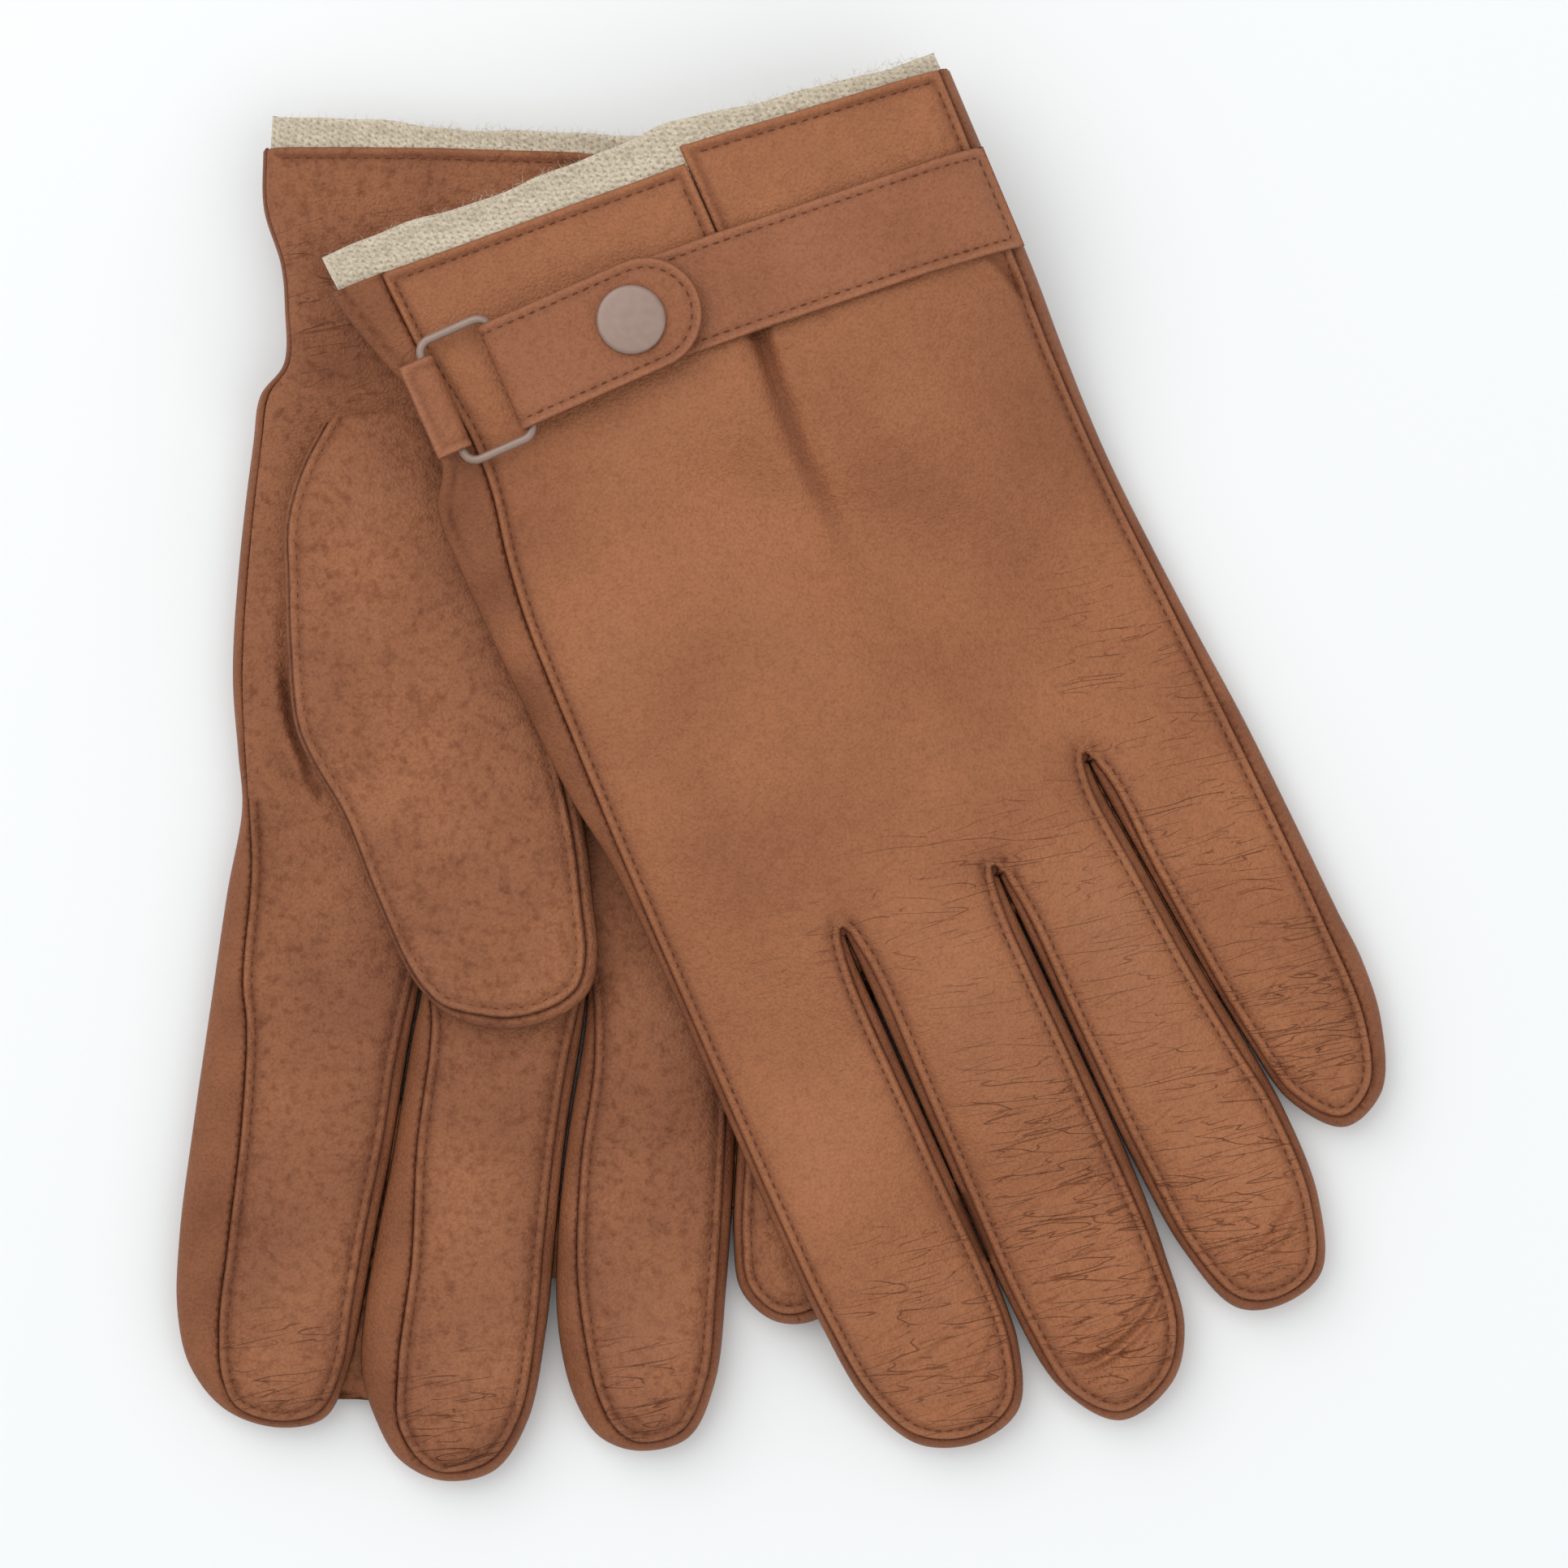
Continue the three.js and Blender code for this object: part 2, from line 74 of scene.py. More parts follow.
# The plan of the strap, ring and snap, as on the CAD part.
STRAP_Y = 118.4
STRAP_HALF = 9.65
STRAP_BENDS = [(-10, 0), (5, -1.1), (53, -5.4), (55.2, -5.6)]
STRAP_LIFT = 0.9
STRAP_SEWN_X = 54.6
TAIL_HALF = 10.2
TAIL_END_X = -3.0
WIRE = 0.8
GAP = 0.3
BAR_Z = STRAP_LIFT + LEATHER + GAP + WIRE
TAB_BAR_X = -53.2
TAIL_BAR_X = -39.8
TAB_HALF = 9.0
TAB_ROOT_X = -57.8
TAIL_Z = BAR_Z + WIRE + GAP
SNAP_X = -16.0

# The edge of each glove as it lies, piece by piece, from the thumb side of the cuff round the fingers.
EDGES = {
    "left": [
        ("palm_panel", [(-64.5, 160), (-63.4, 143), (-60, 130), (-57.4, 122), (-58, 109), (-62, 102),
                        (-62.6, 90), (-62, 64), (-61, 44), (-59.2, 31)]),
        ("index_side_gusset", [(-58.6, 10), (-58.8, -40), (-58.4, -62), (-56.6, -80), (-51, -91),
                               (-41, -95)]),
        ("fourchette_index_middle", [(-31.5, -92.5), (-26.8, -82), (-25.6, -70), (-25.6, -20), (-25.7, -3),
                                     (-25.4, 1.5), (-25.2, -3), (-25.3, -40), (-25.2, -72), (-22.8, -92),
                                     (-15, -102)]),
        ("fourchette_middle_ring", [(-3.4, -99.4), (2.8, -91), (5, -77), (6, -60), (5.2, -30), (4.4, -4),
                                    (4.5, 0.5), (4.7, -5), (5.5, -30), (6.5, -58), (8.4, -78), (13, -91.4),
                                    (20.4, -94.4)]),
        ("fourchette_ring_little", [(30, -92), (35.2, -79), (36, -62), (34.4, -46), (32.1, -30),
                                    (29.9, -10), (28.2, 8), (28.3, 12.5), (28.5, 8), (30.2, -10),
                                    (32.4, -30), (34.8, -47), (37.6, -60.5), (45, -69)]),
        ("palm_panel", [(53.8, -65.8), (59, -54), (60.4, -42), (59.9, -32), (59.2, -12), (58.3, 8),
                        (56.7, 28), (54.9, 58), (54.7, 72), (55.3, 97), (55.3, 137), (55.3, 160)]),
    ],
    "right": [
        ("palm_panel", [(-67.6, 160), (-67, 140), (-66, 130), (-62, 120), (-60.6, 112), (-60, 102),
                        (-64, 96), (-65, 88), (-65.8, 64), (-65.2, 44), (-63, 30)]),
        ("index_side_gusset", [(-61.4, 20), (-62.8, 4), (-64, -16), (-65.4, -40), (-66.2, -60), (-65.4, -74),
                               (-62.2, -84), (-55, -91.5), (-45, -94)]),
        ("fourchette_index_middle", [(-36.4, -91.4), (-32.8, -82), (-31.2, -70), (-29.9, -56), (-28.2, -40),
                                     (-26.7, -20), (-25.8, -11), (-25.4, -7), (-25.4, -11), (-26.4, -20),
                                     (-27.9, -40), (-29.6, -56), (-30.8, -70), (-30.4, -82), (-27, -91),
                                     (-22, -98), (-14, -101.2)]),
        ("fourchette_middle_ring", [(-4.4, -98.6), (1, -89), (3, -72), (3.3, -56), (3.6, -36), (5, -16),
                                    (5.3, -6.5), (5.4, -16), (3.9, -36), (3.7, -56), (5.4, -72), (9.4, -84),
                                    (14.6, -90.6), (22, -92.6)]),
        ("fourchette_ring_little", [(31, -89.4), (35, -79), (35.6, -60), (34.9, -30), (33.5, -4), (33.6, 2),
                                    (33.9, -4), (35.2, -30), (36.2, -52), (38.6, -61.6), (45.6, -66.6)]),
        ("palm_panel", [(53.6, -65), (58.6, -54), (60, -40), (59, -18), (57.5, 7), (55.5, 31), (54.5, 68),
                        (53.5, 104), (54, 140), (54, 160)]),
    ],
}

# The seam round the back panel and the seam round the palm panel.
BACK_SEAM = [
    (-54.4, 160), (-54, 145), (-53, 126), (-51.2, 112), (-51.4, 102), (-54, 88), (-55.4, 76), (-56, 60),
    (-57, 20), (-57.4, -40), (-57, -62), (-55.2, -79), (-50.6, -88.8), (-41, -93), (-32.4, -90.4),
    (-28, -80), (-27.3, -40), (-27.2, -4), (-25.5, 3.2), (-23.7, -4), (-23.7, -40), (-23.6, -78),
    (-21.2, -93), (-14.4, -100), (-4.2, -97.4), (1.4, -90), (3.4, -76), (3.3, -40), (2.8, -4), (4.2, 2.4),
    (6.1, -6), (6.9, -30), (8.2, -60), (9.8, -78), (14, -89.4), (20.4, -92.4), (28.6, -90.4), (33.4, -79),
    (34.2, -60), (32.2, -46), (30, -30), (28, -10), (26.6, 8), (28, 14.2), (30.2, 8), (31.4, -10),
    (33.4, -30), (35.8, -48), (38.6, -59.6), (45, -66.6), (52, -63.4), (56, -52), (56.4, -32), (56, -10),
    (55, 15), (54, 36), (52.8, 60), (52.4, 80), (52.6, 100), (53.2, 138), (53.2, 160),
]
PALM_SEAM = [
    (-66.4, 160), (-66, 140), (-65, 130), (-61, 120), (-59.6, 112), (-58.6, 102), (-62, 96), (-63, 88),
    (-63.6, 64), (-63, 44), (-60.4, 24), (-58.2, 8), (-58, -12), (-56.6, -20), (-56, -40), (-56.6, -60),
    (-57, -76),
    (-55.4, -86), (-52.4, -90.6), (-45, -92.4), (-37.4, -90), (-34, -82), (-33, -70), (-31.8, -56),
    (-30, -40), (-28.4, -20), (-25.6, -5.6), (-22.8, -16), (-23.4, -40), (-22.6, -60), (-23.4, -80),
    (-22, -92), (-15, -99), (-5.2, -96.4), (-0.4, -87.6), (1.3, -70), (1.3, -56), (1.8, -36), (3.4, -16),
    (5.4, -5.4), (7.8, -20), (7, -40), (8, -60), (11, -74), (14, -83), (18, -88.8), (22.4, -90.6),
    (29.8, -87.6), (33.4, -78), (33.8, -60), (33, -30), (31.6, -4), (33.6, 4), (35.8, -4), (37, -30),
    (37.9, -52), (40, -60.4), (46, -64.6), (52.6, -62.6), (56.6, -53), (58, -40), (57.2, -18),
    (55.7, 7), (53.7, 31), (52.7, 68), (51.7, 104), (52.2, 140), (52.2, 160),
]
# Above this height of its plan, and this far out, the palm has no seam on the thumb side: it wraps round.
PALM_WRAP_FROM = 22.0
PALM_WRAP_X = -40.0
SEAM_INSETS = {"back": 0.9, "palm": 0.5}
# The cuff's turned edge and the rim of the knit lining.
CUFF_LINES = {
    "left": [(-70, 146), (-63, 145.6), (4.4, 140.9), (4.6, 144.3), (54, 138), (70, 137)],
    "right": [(-75, 140.6), (-66.6, 141), (-35, 143.6), (-9, 145), (54, 141.5), (70, 141)],
}
KNIT_LINES = {
    "left": [(-70, 152.8), (-63, 152.4), (5, 148.6), (53, 141.6), (70, 140)],
    "right": [(-75, 146.6), (-64.6, 147), (-7, 149), (54, 146.5), (70, 146)],
}
# The vent: a slit in the back panel, from the cuff down to this height of the plan.
VENT_X = 4.5
VENT_END_Y = 109.0
THUMB_EDGE = [
    (-42, 100), (-49, 96), (-53.4, 88), (-56, 80), (-57, 72), (-56, 62), (-54.6, 50), (-52, 36), (-49, 30),
    (-42, 20), (-35, 6), (-27, -8), (-22, -13), (-17, -15.4), (-11, -16.4), (-5, -15.6), (2, -12.4),
    (6, -8), (7, -1), (5.4, 8), (3, 20), (-0.6, 32), (-8, 52), (-17, 70), (-25, 86), (-33, 98),
]
# How far inside its edge the thumb's seam lies, and how far on the side of the index finger.
THUMB_SEAM_INSET = 2.2
THUMB_TIGHT_INSET = 0.8


# How fine the meshes are: along the seams and other outlines, on the panels in view and on those below.
SEAM_STEP = 0.55
OUTLINE_STEP = 0.6
TOP_STEPS = {"left": 0.62, "right": 0.72}
HIDDEN_STEP = 1.7
THUMB_STEP = 0.7
HIDDEN_THUMB_STEP = 1.8


# ---------------------------------------------------------------- plans

def smooth(points, step, closed=False):
    """A centripetal Catmull-Rom curve through the points, resampled every step."""
    given = np.array(points, float)
    if closed:
        given = np.vstack([given[-2:], given, given[:2]])
    else:
        given = np.vstack([2 * given[0] - given[1], given, 2 * given[-1] - given[-2]])
    out = []
    for a, b, c, d in zip(given, given[1:], given[2:], given[3:]):
        spans = [max(np.linalg.norm(q - p), 1e-6) for p, q in ((a, b), (b, c), (c, d))]
        knots = np.cumsum([0] + [span ** 0.5 for span in spans])
        count = max(4, int(np.linalg.norm(c - b) / (0.4 * step)))
        t = np.linspace(knots[1], knots[2], count, endpoint=False)[:, None]

        def between(p, q, i, j):
            return ((knots[j] - t) * p + (t - knots[i]) * q) / (knots[j] - knots[i])

        one, two, three = between(a, b, 0, 1), between(b, c, 1, 2), between(c, d, 2, 3)
        out.append(between(between(one, two, 0, 2), between(two, three, 1, 3), 1, 2))
    out = np.vstack(out + [given[-2:-1]])
    if closed:
        # One turn of the curve, from the first point until it comes back to it.
        start = np.argmin(np.linalg.norm(out - np.array(points[0], float), axis=1))
        later = start + 20
        end = later + np.argmin(np.linalg.norm(out[later:] - out[start], axis=1))
        out = out[start:end]
    return resample(out, step, closed)


def resample(line, step, closed=False):
    """The same polyline with points at even distances of about one step."""
    ring = np.vstack([line, line[:1]]) if closed else line
    along = np.concatenate([[0], np.cumsum(np.linalg.norm(np.diff(ring, axis=0), axis=1))])
    count = max(3, int(round(along[-1] / step)))
    at = np.linspace(0, along[-1], count + 1)
    at = at[:-1] if closed else at
    return np.stack([np.interp(at, along, ring[:, k]) for k in range(ring.shape[1])], axis=1)


class Line:
    """A polyline that tells how far points are from it."""

    def __init__(self, points, closed):
        self.points = points
        self.closed = closed
        self.tree = kdtree.KDTree(len(points))
        for i, (x, y) in enumerate(points):
            self.tree.insert((x, y, 0), i)
        self.tree.balance()

    def distance(self, at):
        nearest = np.array([self.tree.find((x, y, 0))[1] for x, y in at], int).reshape(-1)
        best = np.full(len(at), np.inf)
        count = len(self.points)
        for step in (-1, 0):
            first, second = nearest + step, nearest + step + 1
            if self.closed:
                first, second = first % count, second % count
            else:
                first, second = np.clip(first, 0, count - 1), np.clip(second, 0, count - 1)
            a, b = self.points[first], self.points[second]
            ab = b - a
            share = np.sum((at - a) * ab, 1) / np.maximum(np.sum(ab * ab, 1), 1e-12)
            gap = at - a - ab * np.clip(share, 0, 1)[:, None]
            best = np.minimum(best, np.hypot(gap[:, 0], gap[:, 1]))
        return best, nearest


def inside(at, ring):
    """Whether each point is inside a closed outline."""
    result = np.zeros(len(at), bool)
    a, b = ring, np.roll(ring, -1, axis=0)
    slope = (b[:, 0] - a[:, 0]) / np.where(b[:, 1] == a[:, 1], 1e-12, b[:, 1] - a[:, 1])
    for start in range(0, len(at), 4000):
        x = at[start:start + 4000, :1]
        y = at[start:start + 4000, 1:]
        crosses = (a[:, 1] > y) != (b[:, 1] > y)
        hit = crosses & (x < a[:, 0] + (y - a[:, 1]) * slope)
        result[start:start + 4000] = hit.sum(1) % 2 == 1
    return result


def normals(ring, closed=True):
    """Unit normals on the left of the direction of travel."""
    if closed:
        along = np.roll(ring, -1, axis=0) - np.roll(ring, 1, axis=0)
    else:
        along = np.gradient(ring, axis=0)
    along /= np.maximum(np.linalg.norm(along, axis=1), 1e-9)[:, None]
    return np.stack([-along[:, 1], along[:, 0]], axis=1)


def hex_grid(low, high, step):
    """Points of an even triangular grid over a box."""
    rows = np.arange(low[1], high[1], step * 0.866)
    out = []
    for i, y in enumerate(rows):
        xs = np.arange(low[0] + (i % 2) * step / 2, high[0], step)
        out.append(np.stack([xs, np.full(len(xs), y)], axis=1))
    return np.vstack(out)


def in_box(at, centre, half):
    return (np.abs(at - np.array(centre, float)) <= np.array(half, float)).all(1)


# The grid where creases need it fine, and how far inside an outline its rings of points lie.
DENSE_STEP = 0.32
RINGS = (0.12, 0.3, 0.55, 0.85, 1.15, 1.5, 1.9, 2.4)


def fill(outer, step, rings=RINGS, hole=None, dense=()):
    """Triangles that fill an outline, round its hole if any, finer along its edge and in the dense boxes."""
    edge = outer if hole is None else np.vstack([outer, hole])
    line = Line(outer, True)
    spots = []
    for depth in rings:
        at = outer + normals(outer) * depth
        # Further in, every second point is enough.
        if depth > 0.7:
            at = at[::2]
        spots.append(at[line.distance(at)[0] > 0.93 * depth])
    grid = hex_grid(outer.min(0), outer.max(0), step)
    for centre, half in dense:
        grid = grid[~in_box(grid, centre, half)]
    for k, (centre, half) in enumerate(dense):
        extra = hex_grid(np.subtract(centre, half), np.add(centre, half), DENSE_STEP)
        for other, size in dense[:k]:
            extra = extra[~in_box(extra, other, size)]
        grid = np.vstack([grid, extra])
    grid = grid[line.distance(grid)[0] > (rings[-1] if rings else 0) + 0.45 * step]
    spots.append(grid)
    inner = np.vstack(spots)
    inner = inner[inside(inner, outer)]
    if hole is not None:
        inner = inner[~inside(inner, hole)]
        inner = inner[Line(hole, True).distance(inner)[0] > 0.25]
    points = np.vstack([edge, inner])
    n = len(outer)
    links = [(i, (i + 1) % n) for i in range(n)]
    if hole is not None:
        links += [(n + i, n + (i + 1) % len(hole)) for i in range(len(hole))]
    result = delaunay_2d_cdt([Vector(p) for p in points.tolist()], links, [], 0, 1e-5, True)
    flat = np.array([tuple(p) for p in result[0]])
    faces = np.array([f for f in result[2] if len(f) == 3])
    at_edge = (faces < len(edge)).any(1)
    middle = flat[faces[at_edge]].mean(1)
    keep = np.ones(len(faces), bool)
    keep[at_edge] = inside(middle, outer)
    if hole is not None:
        keep[at_edge] &= ~inside(middle, hole)
    return flat, faces[keep]


# ---------------------------------------------------------------- heights

def ease(value, low, high):
    """From 0 at low to 1 at high, without a corner at either."""
    t = np.clip((value - low) / (high - low), 0, 1)
    return t * t * (3 - 2 * t)


def bell(value, centre, width):
    return np.exp(-((value - centre) / width) ** 2)


def crown(depth, radius):
    """How full a padded form is at a distance in from its edge, from 0 to 1."""
    t = 1 - np.clip(depth / radius, 0, 1)
    return np.sqrt(np.maximum(1 - t ** 2.3, 0))


def waves(at, seed, length, count=9):
    """A smooth random surface between about -1 and 1, with bumps of about that length."""
    draw = np.random.default_rng(seed)
    total = np.zeros(len(at))
    for _ in range(count):
        angle = draw.uniform(0, math.tau)
        size = length * draw.uniform(0.6, 1.7)
        phase = draw.uniform(0, math.tau)
        total += np.sin((at[:, 0] * math.cos(angle) + at[:, 1] * math.sin(angle)) * math.tau / size + phase)
    return total / math.sqrt(count) / 1.4


SEAM_PROFILE = ((0, -SEAM_DEPTH), (0.12, -0.2), (0.3, 0.14), (0.55, 0.36), (0.85, 0.4), (1.15, 0.24),
                (1.5, -0.04), (1.9, -0.16), (2.4, -0.1), (3.2, 0))
HEM_PROFILE = ((0, -0.5), (0.12, -0.18), (0.3, 0), (0.55, 0.1), (0.85, 0.1), (1.5, 0), (2.1, -0.16),
               (2.7, 0), (4, 0))


def profile(depth, points):
    """A height read off a profile of (distance in from the edge, height) points."""
    return np.interp(depth, [p[0] for p in points], [p[1] for p in points])


def to_world(side, at, height):
    """Metres in the frame, from a glove's plan and heights above the table."""
    turn = TURNS[side]
    x = at[:, 0] * math.cos(turn) - at[:, 1] * math.sin(turn) + PLACES[side][0]
    y = at[:, 0] * math.sin(turn) + at[:, 1] * math.cos(turn) + PLACES[side][1]
    return np.stack([x, y, height], axis=1) * MM


def place_of(side):
    """Where a glove's plan has its origin, found from the CAD snap."""
    low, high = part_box(f"{side}_snap_cap")
    middle = (low + high) / (2 * MM)
    turn = TURNS[side]
    x = SNAP_X * math.cos(turn) - STRAP_Y * math.sin(turn)
    y = SNAP_X * math.sin(turn) + STRAP_Y * math.cos(turn)
    return middle.x - x, middle.y - y


PLACES = {side: place_of(side) for side in ("left", "right")}


class Glove:
    """The soft form of one glove: its edge in plan, and the heights of its faces on what it lies on."""

    def __init__(self, side, ground=None):
        self.side = side
        self.ground = ground
        spots = []
        names = []
        for name, points in EDGES[side]:
            spots += points
            names += [name] * len(points)
        curve = smooth(spots, 0.5)
        corner = np.array(spots, float)
        nearest = np.array([np.argmin(np.hypot(*(corner - p).T)) for p in curve])
        # Each stretch of the edge belongs to the piece named where the stretch ends.
        order = np.maximum.accumulate(nearest)
        self.names = [names[i] for i in order]
        self.edge = curve
        self.line = Line(curve, False)
        self.cuff = np.array(CUFF_LINES[side], float)

    def cuff_y(self, x):
        return np.interp(x, self.cuff[:, 0], self.cuff[:, 1])

    def middle(self, at):
        """The height half-way through the glove."""
        if self.ground is not None:
            return self.ground.at(at) + THICK / 2
        low, high, rise = WRIST_RISE
        return FLOOR_GAP + THICK / 2 + rise * ease(at[:, 1], low, high)

    def half(self, at):
        thick = THICK + (CUFF_THICK - THICK) * ease(at[:, 1], 130, 148)
        return thick / 2 * crown(self.line.distance(at)[0], EDGE_RADIUS)

    def upper(self, at):
        return self.middle(at) + self.half(at) + self.relief(at)

    def lower(self, at):
        return self.middle(at) - self.half(at)

    def relief(self, at):
        fade = crown(self.line.distance(at)[0], 5.0)
        seed = 11 if self.side == "left" else 31
        soft = 0.34 * waves(at, seed, 42) + 0.12 * waves(at, seed + 1, 15) + 0.035 * waves(at, seed + 2, 4.5)
        height = fade * (soft + creases(self.side, at)[0])
        if self.side == "left":
            # The thumb side's flap of the vent lies over the other one.
            lap = np.exp(-np.abs(at[:, 0] - VENT_X) / 5) * ease(at[:, 1], VENT_END_Y - 8, VENT_END_Y + 20)
            height = height + np.where(at[:, 0] < VENT_X, 0.75, -0.45) * lap
        return height


# ---------------------------------------------------------------- creases

def crease(at, points, depth, width, lip=0.25, fade=(0.2, 0.2)):
    """A valley with slight lips along a curve, fading over a share of its length at each end."""
    path = smooth(points, 0.8) if len(points) > 2 else resample(np.array(points, float), 0.8)
    low, high = path.min(0) - 4 * width, path.max(0) + 4 * width
    near = np.where(((at > low) & (at < high)).all(1))[0]
    out = np.zeros(len(at))
    if len(near) == 0:
        return out
    spots = at[near]
    gap = np.hypot(spots[:, None, 0] - path[None, :, 0], spots[:, None, 1] - path[None, :, 1])
    share = gap.argmin(1) / max(len(path) - 1, 1)
    strength = ease(share, 0, fade[0]) * ease(1 - share, 0, fade[1])
    gap = gap.min(1) / width
    shape = -np.exp(-gap ** 2) + lip * np.exp(-(gap - 1.9) ** 2)
    out[near] = depth * strength * shape
    return out


# Where fine creases gather: the middle, the half sizes, how many, their length, depth and lean in degrees.
CREASED = {
    "left": [
        ((-6, 5), (34, 8), 60, 8, 0.07, 8), ((-40, -2), (12, 8), 16, 6, 0.06, -5),
        ((-8, -68), (11, 28), 110, 11, 0.15, 4), ((-41, -74), (11, 15), 46, 9, 0.11, 4),
        ((20, -70), (11, 20), 70, 10, 0.13, 8), ((46, -48), (9, 14), 46, 8, 0.12, 12),
        ((44, 26), (9, 18), 26, 7, 0.06, 30), ((20, -32), (11, 18), 30, 7, 0.08, 6),
        ((42, -8), (9, 14), 30, 7, 0.08, 14),
    ],
    "right": [
        ((-44, -84), (8, 7), 16, 6, 0.1, 5), ((-11, -90), (8, 7), 16, 6, 0.1, 5),
        ((20, -84), (8, 7), 10, 6, 0.1, 0), ((-40, 118), (20, 16), 12, 8, 0.1, -8),
        ((-61, -30), (3, 40), 30, 4, 0.12, 12), ((-26, -70), (3, 20), 20, 4, 0.12, 8),
    ],
}
# Larger folds: the curve, the depth (a ridge where negative), the width, the lip and the fade at each end.
FOLDS = {
    "left": [
        ([(4.3, 110), (4.1, 104), (3.6, 99), (3.2, 93)], 0.8, 1.1, 0.5, (0.05, 0.7)),
        ([(4.2, 114), (3.2, 98), (2.4, 84), (3.0, 70), (4.4, 54)], 1.35, 2.3, 0.35, (0.1, 0.6)),
        ([(-3, 108), (-5, 92), (-4, 74)], -0.5, 5.0, 0.0, (0.3, 0.6)),
        ([(30, 98), (34, 84), (42, 70)], 0.3, 6.0, 0.2, (0.4, 0.6)),
        ([(48, 106), (50.5, 98), (53.4, 90)], 0.8, 0.9, 0.7, (0.2, 0.3)),
        ([(-36, 0), (-16, 6), (8, 4), (24, 16)], 0.22, 3.4, 0.2, (0.4, 0.4)),
        ([(-25, -86), (-14, -88.5), (-4, -86), (3.6, -81)], 0.9, 0.7, 0.5, (0.3, 0.1)),
        ([(-22, -91), (-15, -90.8), (-6, -88.8), (3, -83.6)], 0.6, 0.6, 0.4, (0.3, 0.1)),
        ([(-20, -84), (-12, -86.4), (-3, -83.6), (3.4, -78.6)], 0.6, 0.6, 0.4, (0.4, 0.1)),
        ([(-13, -94), (-8, -91.6), (1.6, -85.6)], 0.4, 0.6, 0.4, (0.5, 0.1)),
        ([(-10, -80), (-4, -79.4), (4, -75)], 0.4, 0.6, 0.4, (0.5, 0.1)),
        ([(-19, -97.5), (-13, -96), (-7, -94.6), (-1, -91.6)], -0.8, 3.4, 0.0, (0.3, 0.3)),
        ([(-52, -72), (-46, -76), (-36, -74)], 0.3, 0.7, 0.4, (0.4, 0.3)),
        ([(-40, -84), (-34, -81), (-29, -76)], 0.4, 0.7, 0.4, (0.4, 0.2)),
        ([(-16, -56), (-8, -58.6), (2, -56)], 0.22, 0.8, 0.3, (0.4, 0.3)),
        ([(-12, -63), (-5, -65), (3, -61)], 0.2, 0.7, 0.3, (0.4, 0.3)),
        ([(10, -66), (20, -68), (31, -64)], 0.2, 0.8, 0.3, (0.4, 0.3)),
        ([(13, -80), (21, -82), (31.6, -76.5)], 0.6, 0.8, 0.4, (0.4, 0.2)),
        ([(14, -84), (22, -85), (31, -80)], 0.4, 0.6, 0.4, (0.4, 0.2)),
        ([(-52, -83), (-44, -86), (-34, -83)], 0.24, 0.8, 0.3, (0.4, 0.3)),
        ([(38, -50), (46, -53), (56, -48)], 0.24, 0.8, 0.3, (0.3, 0.3)),
    ],
    "right": [
        ([(-62, 106), (-52, 101), (-40, 103), (-26, 108)], 0.45, 3.2, 0.3, (0.3, 0.6)),
        ([(-64, 124), (-50, 119), (-34, 121)], 0.3, 3.2, 0.2, (0.3, 0.6)),
        ([(-58.6, 66), (-57.8, 50), (-56.2, 40), (-53.6, 33)], -0.7, 1.5, 0.0, (0.4, 0.3)),
        ([(-55.6, 50), (-53.6, 38), (-50.6, 31), (-48, 26.4)], 1.5, 0.9, 0.3, (0.4, 0.15)),
        ([(-59, 34), (-53, 27.6), (-47, 23)], 0.5, 1.7, 0.3, (0.5, 0.3)),
        ([(-51, 29.6), (-48.6, 26.2), (-45.4, 21)], 1.2, 0.8, 0.4, (0.3, 0.4)),
    ],
}


def creases(side, at):
    """The creases' height at each point, and how much painted shade lies in the crease there, from 0 to 1."""
    folds, valleys = np.zeros(len(at)), np.zeros(len(at))
    for points, depth, width, lip, fade in FOLDS[side]:
        fold = crease(at, points, depth, width, lip, fade)
        folds += fold
        if depth > 0:
            valleys = np.maximum(valleys, -fold)
    fine = np.zeros(len(at))
    draw = np.random.default_rng(5 if side == "left" else 6)
    for (x, y), (wide, tall), count, length, depth, lean in CREASED[side]:
        for _ in range(count):
            centre = np.array([x + wide * draw.uniform(-1, 1), y + tall * draw.uniform(-1, 1)])
            angle = math.radians(lean + draw.normal(0, 10))
            reach = length * draw.uniform(0.4, 1.2) / 2
            ahead = np.array([math.cos(angle), math.sin(angle)])
            bow = np.array([-ahead[1], ahead[0]]) * draw.normal(0, 0.14) * reach
            shape = [centre - ahead * reach, centre + bow, centre + ahead * reach]
            deep = depth * draw.uniform(0.5, 1.25)
            fine += crease(at, shape, deep, draw.uniform(0.2, 0.36), fade=(0.4, 0.4))
    return folds + fine, np.clip(-fine / 0.3, 0, 0.6) + 0.5 * np.clip(valleys, 0, 1.2) ** 1.2


# Where a patch is, its size, and how much lighter it is, or darker where negative.
TONE_PATCHES = {
    # On the left glove the darker patches beside the pleat, at (14, 78), and along the hand's edge on the
    # little finger's side, at (46, 84), are painted shade.
    "left": [
        ((-36, 22), (16, 14), -0.2), ((-6, 16), (22, 10), -0.14), ((14, 78), (9, 22), -0.16),
        ((46, 84), (9, 26), -0.22), ((-44, 96), (8, 12), -0.18), ((-14, 84), (12, 22), 0.12),
        ((28, 50), (16, 20), -0.12), ((22, -30), (12, 30), 0.3), ((-8, -70), (12, 24), 0.0),
        ((-8, -20), (12, 24), 0.2), ((-42, -30), (14, 30), 0.08), ((46, -30), (12, 24), -0.1),
    ],
    "right": [
        ((-52, 110), (12, 22), -0.25), ((-58, 30), (8, 26), -0.25), ((-8, -30), (60, 12), -0.15),
        ((-45, -60), (10, 26), 0.14), ((-11, -66), (10, 26), 0.14), ((20, -66), (10, 26), 0.14),
        ((-20, 120), (30, 16), 0.08),
    ],
}


